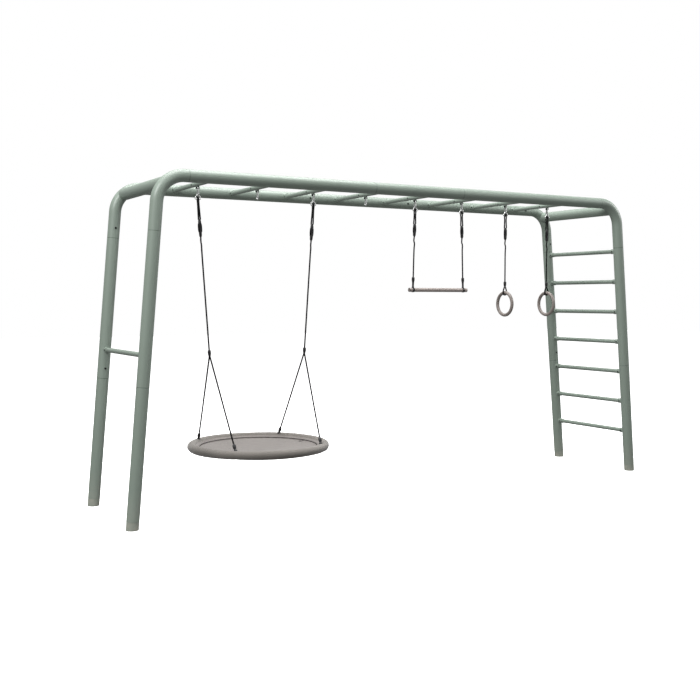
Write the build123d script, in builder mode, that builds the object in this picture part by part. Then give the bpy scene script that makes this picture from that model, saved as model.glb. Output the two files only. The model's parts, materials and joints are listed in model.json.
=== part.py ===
"""Tubular steel monkey bars with a nest swing, a trapeze and two gym rings.

Two arched side frames of bolted round tube are tied together by a cross tube at each end, eight
hanging rungs, a seven-rung ladder at the right end and one tumble bar at the left end. Under every
rung is a swinging hook. X runs along the bars, Y from front to rear, Z up, and the origin is on the
ground at the middle of the four feet.
"""

import os
from math import acos, asin, atan2, cos, degrees, hypot, radians, sin, sqrt, tan

from build123d import *

# ---------------------------------------------------------------- driving dimensions (mm)
# side frames
SPAN = 3795.0  # between the points where the leg and rail axes would meet
RAIL_Z = 2150.0  # height of the rail axes
ROW_SPACING = 833.0  # between the front and the rear rail axes
LEG_SPLAY = 5.0  # degrees that each leg leans out
TUBE_D = 80.0
TUBE_WALL = 2.0
BEND_R = 180.0  # axis radius of the corner bends
LEG_SEAM_Z = 862.0  # lower leg to upper leg
CORNER_SEAM_DROP = 343.0  # from the rail axes down to the upper leg's seam
CORNER_RAIL_RUN = 187.5  # from the corner point to the rail seam
CENTRE_RAIL_L = 740.0
SEAM_CHAMFER = 1.6

# swaged joints between the tubes
SPIGOT_L = 110.0
SPIGOT_GAP = 0.15  # radial
SHOULDER_L = 6.0
JOINT_BOLT_FROM_SEAM = 68.0
JOINT_BOLT_D = 8.0
JOINT_HEAD_D = 14.0
JOINT_HEAD_H = 4.5
JOINT_NUT_D = 15.0
JOINT_NUT_H = 6.0
BOLT_HOLE_GAP = 0.2  # radial

# feet
FOOT_H = 50.0
FOOT_PLUG_L = 36.0
FOOT_PLUG_GAP = 0.2
FOOT_HOLLOW_D = 56.0
FOOT_SOLE_T = 12.0

# rungs
RUNG_D = 32.0
RUNG_WALL = 2.0
RUNG_END_INSET = 396.0  # from the corner points to the first and the last rung
RUNG_COUNT = 8
SOCKET_WALL = 3.0
SOCKET_GAP = 0.3  # radial, round the rung
SOCKET_L = 34.0  # out from the tube's surface
RUNG_END_GAP = 4.0  # from the rung's end to the tube
WELD_GAP = 0.1
SCREW_FROM_TUBE = 15.0
SCREW_D = 6.0
SCREW_HEAD_D = 11.0
SCREW_HEAD_H = 3.2
SCREW_L = 9.0
PLUG_Y = 24.0  # spare hook hole in each monkey rung
PLUG_HOLE_D = 8.4
PLUG_FLANGE_D = 12.0
PLUG_FLANGE_T = 1.6
PLUG_L = 7.0
LADDER_TOP_DROP = 372.0  # from the rail axes
LADDER_FOOT_Z = 326.0
LADDER_COUNT = 7
TUMBLE_BAR_Z = 1055.0

# swinging hooks under the monkey rungs
HOOK_Y = -51.0
EYE_T = 8.0
EYE_LUG_R = 9.0
EYE_RING_R = 14.0
EYE_HOLE_R = 8.0
EYE_DROP = 42.0  # from the pivot to the eye hole
EYE_ROUND = 1.2
LUG_CLEARANCE = 1.0  # between the eye's lug and the rung
EAR_T = 3.0
EAR_GAP = 0.5  # each side of the eye
PIVOT_D = 8.0
PIVOT_HEAD_D = 13.0
PIVOT_HEAD_T = 5.0
WASHER_D = 17.0
WASHER_T = 1.5
BUSH_D = 12.0
BUSH_RUNNING_GAP = 0.05

# delta links (galvanised quick links)
LINK_BAR_R = 3.25
LINK_TOP_R = 11.0
LINK_FOOT_R = 6.0
LINK_HALF_ANGLE = 32.0
LINK_SLACK = 1.2  # between the bar's crown and the eye hole's floor
LINK_DROP = 74.0  # from the pivot to the axis of the link's bottom bar

# ropes and their fittings
ROPE_D = 10.0
THIMBLE_R = 5.9
THIMBLE_L = 12.0
THIMBLE_BORE_GAP = 0.2
STRAND_HALF = 9.0  # half the spacing of the doubled rope at the adjuster
ADJUSTER_T = 14.0
ADJUSTER_W = 30.0
ADJUSTER_ROUND = 6.0
ADJUSTER_DROP = 92.0  # below the link
ADJUSTER_L = 97.0
NEST_ADJUSTER_DROP = 129.0
NEST_ADJUSTER_L = 118.0
BEAD_R = 11.0
BEAD_NECK_R = 7.5
BEAD_L = 42.0
FACE_GAP = 0.1  # between a rope's end and its fitting
STRAND_END_GAP = 0.3  # from the doubled rope's end to the adjuster

# nest swing
NEST_RUNGS = (0, 2)  # it hangs from the first and the third rung
NEST_Z = 395.0
NEST_RIM_R = 454.5
NEST_RIM_TUBE_R = 16.0
NEST_RIM_TUBE_WALL = 2.0
NEST_SLEEVE_R = 30.5
NEST_SLEEVE_GAP = 0.2
NEST_TIE_ANGLE = 47.0  # of the four ties, from the X axis
NEST_BEAD_RISE = 662.0  # from the rim to the bead's top
NEST_LEG_HALF = 5.6  # half the spacing of the two legs under a bead
NEST_LEG_START = 1.8  # below the bead
CONE_L = 46.0
CONE_TOP_R = 7.0
CONE_FOOT_R = 12.0
CONE_SEAT_GAP = 0.2
SEAT_GAP = 0.3
SEAT_T = 6.0
SEAT_SAG = 26.0

# trapeze
TRAPEZE_RUNGS = (4, 5)
TRAPEZE_DROP = 685.0  # from the rail axes
TRAPEZE_BAR_D = 30.0
TRAPEZE_BAR_WALL = 3.0
TRAPEZE_BAR_L = 527.0
TRAPEZE_ROPE_SPREAD = 463.0  # between the ropes at the bar
TRAPEZE_BEAD_RISE = 95.0
TRAPEZE_CAP_T = 3.0
TRAPEZE_CAP_PLUG_L = 18.0
TRAPEZE_CAP_GAP = 0.1
COLLAR_T = 2.0
COLLAR_L = 18.0  # clear of the leaning neck, whose side would else touch the end faces

# gym rings
RING_RUNGS = {"left_ring": 6, "right_ring": 7}
RING_TOP_DROP = 690.0  # from the rail axes
RING_D = 202.0
RING_BAR_R = 12.5
RING_BEAD_RISE = 75.0
RING_LOOP_GAP = 0.4
RING_LOOP_HALF = 5.2
RING_LOOP_START = 1.4  # below the bead
SPARE_HOOKS = {"spare_hook_left": 1, "spare_hook_right": 3}

# ---------------------------------------------------------------- sizes that follow
TUBE_R = TUBE_D / 2
BORE_R = TUBE_R - TUBE_WALL
SPIGOT_R = BORE_R - SPIGOT_GAP
SHOULDER_R = TUBE_R - SEAM_CHAMFER
ROW_Y = ROW_SPACING / 2
SLOPE = tan(radians(LEG_SPLAY))
CORNER_X = SPAN / 2
CORNER_SEAM_Z = RAIL_Z - CORNER_SEAM_DROP
RAIL_SEAM_X = CORNER_X - CORNER_RAIL_RUN
CENTRE_SEAM_X = CENTRE_RAIL_L / 2
RUNG_R = RUNG_D / 2
SOCKET_BORE_R = RUNG_R + SOCKET_GAP
SOCKET_R = SOCKET_BORE_R + SOCKET_WALL
TUBE_FACE_Y = ROW_Y - TUBE_R
RUNG_HALF = TUBE_FACE_Y - RUNG_END_GAP
SCREW_Y = TUBE_FACE_Y - SCREW_FROM_TUBE
RUNG_PITCH = (SPAN - 2 * RUNG_END_INSET) / (RUNG_COUNT - 1)
RUNG_XS = [(i - (RUNG_COUNT - 1) / 2) * RUNG_PITCH for i in range(RUNG_COUNT)]
LADDER_TOP_Z = RAIL_Z - LADDER_TOP_DROP
LADDER_PITCH = (LADDER_TOP_Z - LADDER_FOOT_Z) / (LADDER_COUNT - 1)
LADDER_ZS = [LADDER_TOP_Z - i * LADDER_PITCH for i in range(LADDER_COUNT)]
PIVOT_Z = RAIL_Z - RUNG_R - LUG_CLEARANCE - EYE_LUG_R
EYE_HOLE_Z = PIVOT_Z - EYE_DROP
LINK_CROWN_Z = EYE_HOLE_Z - EYE_HOLE_R + LINK_BAR_R + LINK_SLACK
LINK_FOOT_Z = PIVOT_Z - LINK_DROP
EAR_IN_X = EYE_T / 2 + EAR_GAP
EAR_OUT_X = EAR_IN_X + EAR_T
ADJUSTER_TOP_Z = LINK_FOOT_Z - ADJUSTER_DROP
NEST_ADJUSTER_TOP_Z = LINK_FOOT_Z - NEST_ADJUSTER_DROP
NEST_BEAD_TOP_Z = NEST_Z + NEST_BEAD_RISE
TRAPEZE_Z = RAIL_Z - TRAPEZE_DROP
TRAPEZE_BEAD_TOP_Z = TRAPEZE_Z + TRAPEZE_BEAD_RISE
RING_TOP_Z = RAIL_Z - RING_TOP_DROP
RING_BEAD_TOP_Z = RING_TOP_Z + RING_BEAD_RISE
ROPE_R = ROPE_D / 2
LOOP_R = THIMBLE_R + FACE_GAP + ROPE_R
ENDS = {"left": -1, "right": 1}
ROWS = {"front": -1, "rear": 1}


# ---------------------------------------------------------------- shared shapes
def leg_point(end, row, z):
    """The point on a leg's axis at height z."""
    return Vector(end * (CORNER_X + (RAIL_Z - z) * SLOPE), row * ROW_Y, z)


def leg_plane(end, row, z):
    """A plane across a leg at height z, with its normal up the leg."""
    return Plane(origin=leg_point(end, row, z), x_dir=(0, 1, 0), z_dir=(-end * SLOPE, 0, 1))


def rail_plane(x, row, toward):
    """A plane across a rail at x, with its normal along X towards the sign given."""
    return Plane(origin=(x, row * ROW_Y, RAIL_Z), x_dir=(0, 1, 0), z_dir=(toward, 0, 0))


def disc(plane, outer, inner=0.0):
    """A round or ring-shaped section."""
    with BuildSketch(plane) as section:
        Circle(outer)
        if inner:
            Circle(inner, mode=Mode.SUBTRACT)
    return section.sketch


def add_bar(plane, length, outer, inner=0.0, mode=Mode.ADD):
    """A straight bar or tube that starts at a plane and runs along its normal."""
    extrude(disc(plane, outer, inner), amount=length, mode=mode)


def add_spigot(plane):
    """A closed shoulder behind a tube's end and the reduced end that goes into the next tube."""
    add_bar(plane.offset(-SHOULDER_L), SHOULDER_L, SHOULDER_R, SPIGOT_R - TUBE_WALL)
    add_bar(plane, SPIGOT_L, SPIGOT_R, SPIGOT_R - TUBE_WALL)


def add_pipe(wire, radius, inner=0.0, mode=Mode.ADD):
    """A bar or tube along a path."""
    sweep(disc(Plane(origin=wire @ 0, z_dir=wire % 0), radius, inner), path=wire, mode=mode)


def add_turned(origin, direction, outline):
    """A turned piece: outline holds (radius, height) points about a line through origin."""
    up = Vector(direction).normalized()
    side = up.cross(Vector(0, 0, 1) if abs(up.Z) < 0.9 else Vector(1, 0, 0)).normalized()
    with BuildSketch(Plane(origin=origin, x_dir=side, z_dir=side.cross(up))) as section:
        with BuildLine():
            Polyline(*outline, close=True)
        make_face()
    revolve(section.sketch, axis=Axis(origin, up))


def joint_places():
    """Each swaged joint's bolt: a point on the tube's axis and the way its head faces."""
    places = []
    for row in ROWS.values():
        for end in ENDS.values():
            for seam in (LEG_SEAM_Z, CORNER_SEAM_Z):
                z = seam + JOINT_BOLT_FROM_SEAM * cos(radians(LEG_SPLAY))
                places.append((leg_point(end, row, z), -row))
            for x in (CENTRE_SEAM_X + JOINT_BOLT_FROM_SEAM, RAIL_SEAM_X - JOINT_BOLT_FROM_SEAM):
                places.append((Vector(end * x, row * ROW_Y, RAIL_Z), -row))
    return places


def cut_joint_holes(end, row, low_z, high_z, low_x=0.0, high_x=0.0):
    """Bolt holes through the inner wall of a tube that reaches over the given joints."""
    for point, facing in joint_places():
        on_leg = point.Z < RAIL_Z and low_z < point.Z < high_z
        on_rail = point.Z == RAIL_Z and low_x < end * point.X < high_x
        if facing == -row and point.X * end > 0 and (on_leg or on_rail):
            hole = Plane(origin=point, z_dir=(0, facing, 0))
            add_bar(hole, TUBE_D, JOINT_BOLT_D / 2 + BOLT_HOLE_GAP, mode=Mode.SUBTRACT)


def rim_edges(piece):
    """The outer edges of a tube's two ends."""
    return piece.edges().filter_by(GeomType.CIRCLE).filter_by(
        lambda e: abs(e.radius - TUBE_R) < 0.01
    )


def corner_wire(end, row):
    """A corner's axis, from its leg seam round the bend to its rail seam."""
    with BuildLine() as path:
        FilletPolyline(
            leg_point(end, row, CORNER_SEAM_Z),
            (end * CORNER_X, row * ROW_Y, RAIL_Z),
            (end * RAIL_SEAM_X, row * ROW_Y, RAIL_Z),
            radius=BEND_R,
        )
    return path.wire()


def frame_tube_cutters():
    """The outsides of the rails and legs, which shape the welded ends that meet them."""
    for row in ROWS.values():
        add_bar(rail_plane(-CORNER_X, row, 1), SPAN, TUBE_R + WELD_GAP, mode=Mode.SUBTRACT)
        for end in ENDS.values():
            add_bar(
                leg_plane(end, row, FOOT_H), CORNER_SEAM_Z, TUBE_R + WELD_GAP, mode=Mode.SUBTRACT
            )


# ---------------------------------------------------------------- side frames
def save(piece, name):
    """Name a finished sub-part and write its STEP file."""
    piece.part.label = name
    export_step(piece.part, f"parts/{name}.step")


os.makedirs("parts", exist_ok=True)

for row_name, row in ROWS.items():
    for end_name, end in ENDS.items():
        with BuildPart() as lower_leg:
            foot_plane = leg_plane(end, row, FOOT_H)
            leg_length = (LEG_SEAM_Z - FOOT_H) / cos(radians(LEG_SPLAY))
            add_bar(foot_plane, leg_length, TUBE_R, BORE_R)
            chamfer(rim_edges(lower_leg), SEAM_CHAMFER)
            add_spigot(foot_plane.offset(leg_length))
            cut_joint_holes(end, row, LEG_SEAM_Z, CORNER_SEAM_Z)
        save(lower_leg, f"{row_name}_lower_leg_{end_name}")

        with BuildPart() as upper_leg:
            seam_plane = leg_plane(end, row, LEG_SEAM_Z)
            leg_length = (CORNER_SEAM_Z - LEG_SEAM_Z) / cos(radians(LEG_SPLAY))
            add_bar(seam_plane, leg_length, TUBE_R, BORE_R)
            chamfer(rim_edges(upper_leg), SEAM_CHAMFER)
            add_spigot(seam_plane.offset(leg_length))
            cut_joint_holes(end, row, LEG_SEAM_Z, RAIL_Z)
        save(upper_leg, f"{row_name}_upper_leg_{end_name}")

        with BuildPart() as corner:
            add_pipe(corner_wire(end, row), TUBE_R, BORE_R)
            chamfer(rim_edges(corner), SEAM_CHAMFER)
            add_spigot(rail_plane(end * RAIL_SEAM_X, row, -end))
            cut_joint_holes(end, row, CORNER_SEAM_Z, RAIL_Z, CENTRE_SEAM_X + SPIGOT_L, CORNER_X)
        save(corner, f"{row_name}_corner_{end_name}")

        with BuildPart() as outer_rail:
            seam_plane = rail_plane(end * CENTRE_SEAM_X, row, end)
            add_bar(seam_plane, RAIL_SEAM_X - CENTRE_SEAM_X, TUBE_R, BORE_R)
            chamfer(rim_edges(outer_rail), SEAM_CHAMFER)
            cut_joint_holes(end, row, 0, 0, CENTRE_SEAM_X, RAIL_SEAM_X)
        save(outer_rail, f"{row_name}_rail_{end_name}")

    with BuildPart() as centre_rail:
        add_bar(rail_plane(-CENTRE_SEAM_X, row, 1), CENTRE_RAIL_L, TUBE_R, BORE_R)
        chamfer(rim_edges(centre_rail), SEAM_CHAMFER)
        for end in ENDS.values():
            add_spigot(rail_plane(end * CENTRE_SEAM_X, row, end))
            cut_joint_holes(end, row, 0, 0, CENTRE_SEAM_X, CENTRE_SEAM_X + SPIGOT_L)
    save(centre_rail, f"{row_name}_centre_rail")

# the cross tubes meet the bends at the middle of their arcs
bend_turn = radians(90 - LEG_SPLAY)
bend_inset = BEND_R * (1 / cos(bend_turn / 2) - 1)
inset_angle = (radians(90) + radians(LEG_SPLAY)) / 2
with BuildPart() as cross_tubes:
    for end in ENDS.values():
        x = end * (CORNER_X - bend_inset * cos(inset_angle))
        z = RAIL_Z - bend_inset * sin(inset_angle)
        across = Plane(origin=(x, -ROW_Y, z), z_dir=(0, 1, 0))
        add_bar(across, ROW_SPACING, TUBE_R, BORE_R)
        for row in ROWS.values():
            add_pipe(corner_wire(end, row), TUBE_R + WELD_GAP, mode=Mode.SUBTRACT)
save(cross_tubes, "cross_tubes")

with BuildPart() as foot_caps:
    for row in ROWS.values():
        for end in ENDS.values():
            seam_plane = leg_plane(end, row, FOOT_H)
            below = seam_plane.offset(-FOOT_H - TUBE_R)
            add_bar(below, FOOT_H + TUBE_R, TUBE_R - SEAM_CHAMFER / 2)
            add_bar(seam_plane, FOOT_PLUG_L, BORE_R - FOOT_PLUG_GAP)
            hollow = leg_plane(end, row, FOOT_SOLE_T)
            add_bar(hollow, FOOT_H + FOOT_PLUG_L, FOOT_HOLLOW_D / 2, mode=Mode.SUBTRACT)
    split(bisect_by=Plane.XY, keep=Keep.TOP)
save(foot_caps, "foot_caps")

with BuildPart() as joint_bolts:
    head_r, shank_r = JOINT_HEAD_D / 2, JOINT_BOLT_D / 2
    spigot_bore = SPIGOT_R - TUBE_WALL
    nut_top = sqrt(spigot_bore**2 - (JOINT_NUT_D / 2) ** 2)
    seat = TUBE_R + FACE_GAP
    for point, facing in joint_places():
        add_turned(
            point,
            (0, facing, 0),
            [
                (0, nut_top - JOINT_NUT_H),
                (shank_r, nut_top - JOINT_NUT_H),
                (shank_r, seat),
                (head_r, seat),
                (head_r, seat + JOINT_HEAD_H * 0.45),
                (head_r * 0.85, seat + JOINT_HEAD_H * 0.8),
                (head_r * 0.5, seat + JOINT_HEAD_H),
                (0, seat + JOINT_HEAD_H),
            ],
        )
        add_turned(
            point,
            (0, facing, 0),
            [
                (shank_r + BUSH_RUNNING_GAP, nut_top - JOINT_NUT_H),
                (JOINT_NUT_D / 2, nut_top - JOINT_NUT_H),
                (JOINT_NUT_D / 2, nut_top),
                (shank_r + BUSH_RUNNING_GAP, nut_top),
            ],
        )
save(joint_bolts, "joint_bolts")


# ---------------------------------------------------------------- rungs
def rung_centres():
    """The middle of every rung's axis, by kind."""
    return {
        "monkey": [Vector(x, 0, RAIL_Z) for x in RUNG_XS],
        "ladder": [leg_point(1, 0, z) for z in LADDER_ZS],
        "tumble": [leg_point(-1, 0, TUMBLE_BAR_Z)],
    }


def rung_plane(centre, y):
    """A plane across a rung at y, with its normal towards the rear."""
    return Plane(origin=(centre.X, y, centre.Z), z_dir=(0, 1, 0))


def add_rung(centre):
    """A rung with a screw hole near each end, in the wall that faces the left end."""
    add_bar(rung_plane(centre, -RUNG_HALF), 2 * RUNG_HALF, RUNG_R, RUNG_R - RUNG_WALL)
    for row in ROWS.values():
        hole = Plane(origin=(centre.X, row * SCREW_Y, centre.Z), z_dir=(-1, 0, 0))
        add_bar(hole, RUNG_D, SCREW_D / 2 + BOLT_HOLE_GAP, mode=Mode.SUBTRACT)


for number, centre in enumerate(rung_centres()["monkey"], 1):
    with BuildPart() as monkey_rung:
        add_rung(centre)
        spare_hole = Plane(origin=(centre.X - RUNG_D, PLUG_Y, centre.Z), z_dir=(1, 0, 0))
        add_bar(spare_hole, 2 * RUNG_D, PLUG_HOLE_D / 2, mode=Mode.SUBTRACT)
    save(monkey_rung, f"monkey_rung_{number}")

with BuildPart() as ladder_rungs:
    for centre in rung_centres()["ladder"]:
        add_rung(centre)
save(ladder_rungs, "ladder_rungs")

with BuildPart() as tumble_bar:
    add_rung(rung_centres()["tumble"][0])
save(tumble_bar, "tumble_bar")

with BuildPart() as rung_sockets:
    all_centres = [c for centres in rung_centres().values() for c in centres]
    for centre in all_centres:
        for row in ROWS.values():
            start = Plane(
                origin=(centre.X, row * (TUBE_FACE_Y - SOCKET_L), centre.Z), z_dir=(0, row, 0)
            )
            add_bar(start, SOCKET_L + SOCKET_R, SOCKET_R, SOCKET_BORE_R)
            hole = Plane(origin=(centre.X, row * SCREW_Y, centre.Z), z_dir=(-1, 0, 0))
            add_bar(hole, RUNG_D, SCREW_D / 2 + BOLT_HOLE_GAP, mode=Mode.SUBTRACT)
    frame_tube_cutters()
save(rung_sockets, "rung_sockets")

with BuildPart() as rung_fasteners:
    for centre in all_centres:
        for row in ROWS.values():
            seat = SOCKET_R + FACE_GAP
            add_turned(
                (centre.X, row * SCREW_Y, centre.Z),
                (-1, 0, 0),
                [
                    (0, seat - SCREW_L),
                    (SCREW_D / 2, seat - SCREW_L),
                    (SCREW_D / 2, seat),
                    (SCREW_HEAD_D / 2, seat),
                    (SCREW_HEAD_D / 2, seat + SCREW_HEAD_H * 0.5),
                    (SCREW_HEAD_D / 4, seat + SCREW_HEAD_H),
                    (0, seat + SCREW_HEAD_H),
                ],
            )
    for centre in rung_centres()["monkey"]:
        for side in (-1, 1):
            seat = RUNG_R + FACE_GAP
            add_turned(
                (centre.X, PLUG_Y, centre.Z),
                (side, 0, 0),
                [
                    (0, seat - PLUG_L),
                    (PLUG_HOLE_D / 2 - FACE_GAP, seat - PLUG_L),
                    (PLUG_HOLE_D / 2 - FACE_GAP, seat),
                    (PLUG_FLANGE_D / 2, seat),
                    (PLUG_FLANGE_D / 3, seat + PLUG_FLANGE_T),
                    (0, seat + PLUG_FLANGE_T),
                ],
            )
save(rung_fasteners, "rung_fasteners")

# ---------------------------------------------------------------- hooks
with BuildPart() as hook_ears:
    ear_top = RAIL_Z - RUNG_R / 2 - PIVOT_Z
    for x in RUNG_XS:
        for start in (-EAR_OUT_X, EAR_IN_X):
            face = Plane(origin=(x + start, HOOK_Y, PIVOT_Z), x_dir=(0, 1, 0), z_dir=(1, 0, 0))
            with BuildSketch(face):
                Circle(EYE_LUG_R)
                with Locations((0, ear_top / 2)):
                    Rectangle(2 * EYE_LUG_R, ear_top)
                Circle(PIVOT_D / 2 + BUSH_RUNNING_GAP, mode=Mode.SUBTRACT)
            extrude(amount=EAR_T)
    for centre in rung_centres()["monkey"]:
        add_bar(rung_plane(centre, -RUNG_HALF), 2 * RUNG_HALF, RUNG_R + WELD_GAP, mode=Mode.SUBTRACT)
save(hook_ears, "hook_ears")

with BuildPart() as pivot_bolts:
    grip = EAR_OUT_X + WASHER_T
    for x in RUNG_XS:
        add_turned(
            (x, HOOK_Y, PIVOT_Z),
            (1, 0, 0),
            [
                (0, -grip - PIVOT_HEAD_T),
                (PIVOT_HEAD_D / 3, -grip - PIVOT_HEAD_T),
                (PIVOT_HEAD_D / 2, -grip - PIVOT_HEAD_T / 2),
                (PIVOT_HEAD_D / 2, -grip),
                (PIVOT_D / 2, -grip),
                (PIVOT_D / 2, grip),
                (PIVOT_HEAD_D / 2, grip),
                (PIVOT_HEAD_D / 2, grip + PIVOT_HEAD_T / 2),
                (PIVOT_HEAD_D / 3, grip + PIVOT_HEAD_T),
                (0, grip + PIVOT_HEAD_T),
            ],
        )
save(pivot_bolts, "pivot_bolts")

with BuildPart() as pivot_bushes:
    bore = PIVOT_D / 2 + BUSH_RUNNING_GAP
    for x in RUNG_XS:
        sleeve = Plane(origin=(x - EAR_IN_X, HOOK_Y, PIVOT_Z), z_dir=(1, 0, 0))
        add_bar(sleeve, 2 * EAR_IN_X, BUSH_D / 2, bore)
        for start in (-EAR_OUT_X - WASHER_T, EAR_OUT_X):
            washer = Plane(origin=(x + start, HOOK_Y, PIVOT_Z), z_dir=(1, 0, 0))
            add_bar(washer, WASHER_T, WASHER_D / 2, bore)
save(pivot_bushes, "pivot_bushes")


def add_eye(x):
    """A swinging eye: a lug round the pivot bush and a ring below it, cut from one plate."""
    face = Plane(origin=(x - EYE_T / 2, HOOK_Y, PIVOT_Z), x_dir=(0, 1, 0), z_dir=(1, 0, 0))
    with BuildSketch(face) as outline:
        Circle(EYE_LUG_R)
        with Locations((0, -EYE_DROP)):
            Circle(EYE_RING_R)
        make_hull()
        Circle(BUSH_D / 2 + BUSH_RUNNING_GAP, mode=Mode.SUBTRACT)
        with Locations((0, -EYE_DROP)):
            Circle(EYE_HOLE_R, mode=Mode.SUBTRACT)
    with BuildPart(mode=Mode.PRIVATE) as eye:
        extrude(outline.sketch, amount=EYE_T)
        fillet(eye.faces().filter_by(Axis.X).edges(), EYE_ROUND)
    add(eye.part)


def add_link(x):
    """A delta link: a round bar bent into a closed triangle that hangs in the eye."""
    half = radians(LINK_HALF_ANGLE)
    apex = LINK_CROWN_Z + LINK_TOP_R * (1 / sin(half) - 1)
    foot = (apex - LINK_FOOT_Z) * tan(half)
    with BuildLine() as path:
        bent = FilletPolyline(
            (x + LINK_BAR_R, HOOK_Y, LINK_FOOT_Z),
            (x + foot, HOOK_Y, LINK_FOOT_Z),
            (x, HOOK_Y, apex),
            (x - foot, HOOK_Y, LINK_FOOT_Z),
            (x - LINK_BAR_R, HOOK_Y, LINK_FOOT_Z),
            radius=[LINK_FOOT_R, LINK_TOP_R, LINK_FOOT_R],
        )
        Line(bent @ 1, bent @ 0)
    add_pipe(path.wire(), LINK_BAR_R)


# ---------------------------------------------------------------- ropes and their fittings
def rope_plane(x, lean=0.0):
    """The frame of a hanging rope: origin in its link, normal up the rope, local Y to the rear.

    lean is how far the rope moves along X for each millimetre of drop.
    """
    return Plane(origin=(x, HOOK_Y, LINK_FOOT_Z), x_dir=(1, 0, lean), z_dir=(-lean, 0, 1))


def down(hanging, drop, along=0.0):
    """A plane across a rope, drop below its link, with its normal down the rope."""
    origin = hanging.from_local_coords((along, 0, -drop))
    return Plane(origin=origin, x_dir=hanging.x_dir, z_dir=-hanging.z_dir)


def loop_wire(plane, half, height, radius):
    """A rope's axis round a bar at the plane's origin: two straight runs and an arc.

    The runs start at (half, height) and (-half, height), and the arc passes on the other side.
    """
    side = 1 if height > 0 else -1
    turn = atan2(height, half) - side * acos(radius / hypot(half, height))
    touch = (radius * cos(turn), radius * sin(turn))
    with BuildLine(plane) as path:
        Line((half, height), touch)
        ThreePointArc(touch, (0, -side * radius), (-touch[0], touch[1]))
        Line((-touch[0], touch[1]), (-half, height))
    return path.wire()


def add_hanger_rope(hanging, adjuster_drop, adjuster_l, bead_drop):
    """The doubled rope over the thimble and the single rope from the adjuster to the bead."""
    across = Plane(origin=hanging.origin, x_dir=(0, 1, 0), z_dir=hanging.x_dir)
    add_pipe(loop_wire(across, STRAND_HALF, -adjuster_drop + STRAND_END_GAP, LOOP_R), ROPE_R)
    start = adjuster_drop + adjuster_l + FACE_GAP
    add_bar(down(hanging, start), bead_drop - FACE_GAP - start, ROPE_R)


def add_hanger_fittings(hanging, adjuster_drop, adjuster_l, bead_drop):
    """The thimble on the link, the adjuster and the bead."""
    spool = Plane(origin=hanging.origin, z_dir=(1, 0, 0)).offset(-THIMBLE_L / 2)
    add_bar(spool, THIMBLE_L, THIMBLE_R, LINK_BAR_R + THIMBLE_BORE_GAP)
    with BuildSketch(down(hanging, adjuster_drop)) as section:
        RectangleRounded(ADJUSTER_T, ADJUSTER_W, ADJUSTER_ROUND)
    extrude(section.sketch, amount=adjuster_l)
    bead = down(hanging, bead_drop)
    add_turned(
        bead.origin,
        bead.z_dir,
        [
            (0, 0),
            (BEAD_NECK_R, 0),
            (BEAD_R, BEAD_L * 0.15),
            (BEAD_R, BEAD_L * 0.5),
            (BEAD_NECK_R, BEAD_L),
            (0, BEAD_L),
        ],
    )


def drops(lean, *heights):
    """Distances along a leaning rope from its link down to the given heights."""
    return [(LINK_FOOT_Z - z) * hypot(1, lean) for z in heights]


# nest swing: two hangers, each splitting into a front and a rear leg
nest_hooks = [RUNG_XS[i] for i in NEST_RUNGS]
NEST_X = sum(nest_hooks) / 2
tie = radians(NEST_TIE_ANGLE)
tie_x, tie_y = NEST_RIM_R * cos(tie), NEST_RIM_R * sin(tie)
nest_lean = (abs(nest_hooks[0] - NEST_X) - tie_x) / (LINK_FOOT_Z - NEST_Z)
nest_drops = drops(nest_lean, NEST_ADJUSTER_TOP_Z, NEST_BEAD_TOP_Z)
nest_sizes = (nest_drops[0], NEST_ADJUSTER_L, nest_drops[1])


def nest_hangers():
    """Each nest hanger's frame and its side of the nest, -1 left or 1 right."""
    return [
        (rope_plane(x, -side * nest_lean), side) for x, side in zip(nest_hooks, (-1, 1))
    ]


def nest_leg(hanging, side, row):
    """A nest leg: where it leaves the bead, its tie point on the rim, and its direction."""
    top = hanging.from_local_coords((0, 0, -nest_drops[1] - BEAD_L - NEST_LEG_START))
    top = top + Vector(0, row * NEST_LEG_HALF, 0)
    knot = Vector(NEST_X + side * tie_x, HOOK_Y + row * tie_y, NEST_Z)
    return top, knot, (top - knot).normalized()


with BuildPart() as nest_hook_eyes:
    for x in nest_hooks:
        add_eye(x)
save(nest_hook_eyes, "nest_hook_eyes")

with BuildPart() as nest_links:
    for x in nest_hooks:
        add_link(x)
save(nest_links, "nest_links")

with BuildPart() as nest_ropes:
    for hanging, side in nest_hangers():
        add_hanger_rope(hanging, *nest_sizes)
        for row in ROWS.values():
            top, knot, up = nest_leg(hanging, side, row)
            reach = (top - knot).length - NEST_SLEEVE_R - CONE_L - FACE_GAP
            add_bar(Plane(origin=top, z_dir=-up), reach, ROPE_R)
save(nest_ropes, "nest_ropes")

with BuildPart() as nest_rope_fittings:
    for hanging, side in nest_hangers():
        add_hanger_fittings(hanging, *nest_sizes)
        for row in ROWS.values():
            top, knot, up = nest_leg(hanging, side, row)
            foot = NEST_SLEEVE_R - CONE_FOOT_R / 2
            crown = NEST_SLEEVE_R + CONE_L
            waist = NEST_SLEEVE_R + CONE_L * 0.45
            add_turned(
                knot,
                up,
                [
                    (0, foot),
                    (CONE_FOOT_R, foot),
                    (CONE_FOOT_R, waist),
                    (CONE_TOP_R, crown),
                    (0, crown),
                ],
            )
    with Locations((NEST_X, HOOK_Y, NEST_Z)):
        Torus(NEST_RIM_R, NEST_SLEEVE_R + CONE_SEAT_GAP, mode=Mode.SUBTRACT)
save(nest_rope_fittings, "nest_rope_fittings")

with BuildPart() as nest_rim_tube:
    with Locations((NEST_X, HOOK_Y, NEST_Z)):
        Torus(NEST_RIM_R, NEST_RIM_TUBE_R)
        Torus(NEST_RIM_R, NEST_RIM_TUBE_R - NEST_RIM_TUBE_WALL, mode=Mode.SUBTRACT)
save(nest_rim_tube, "nest_rim_tube")

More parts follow.
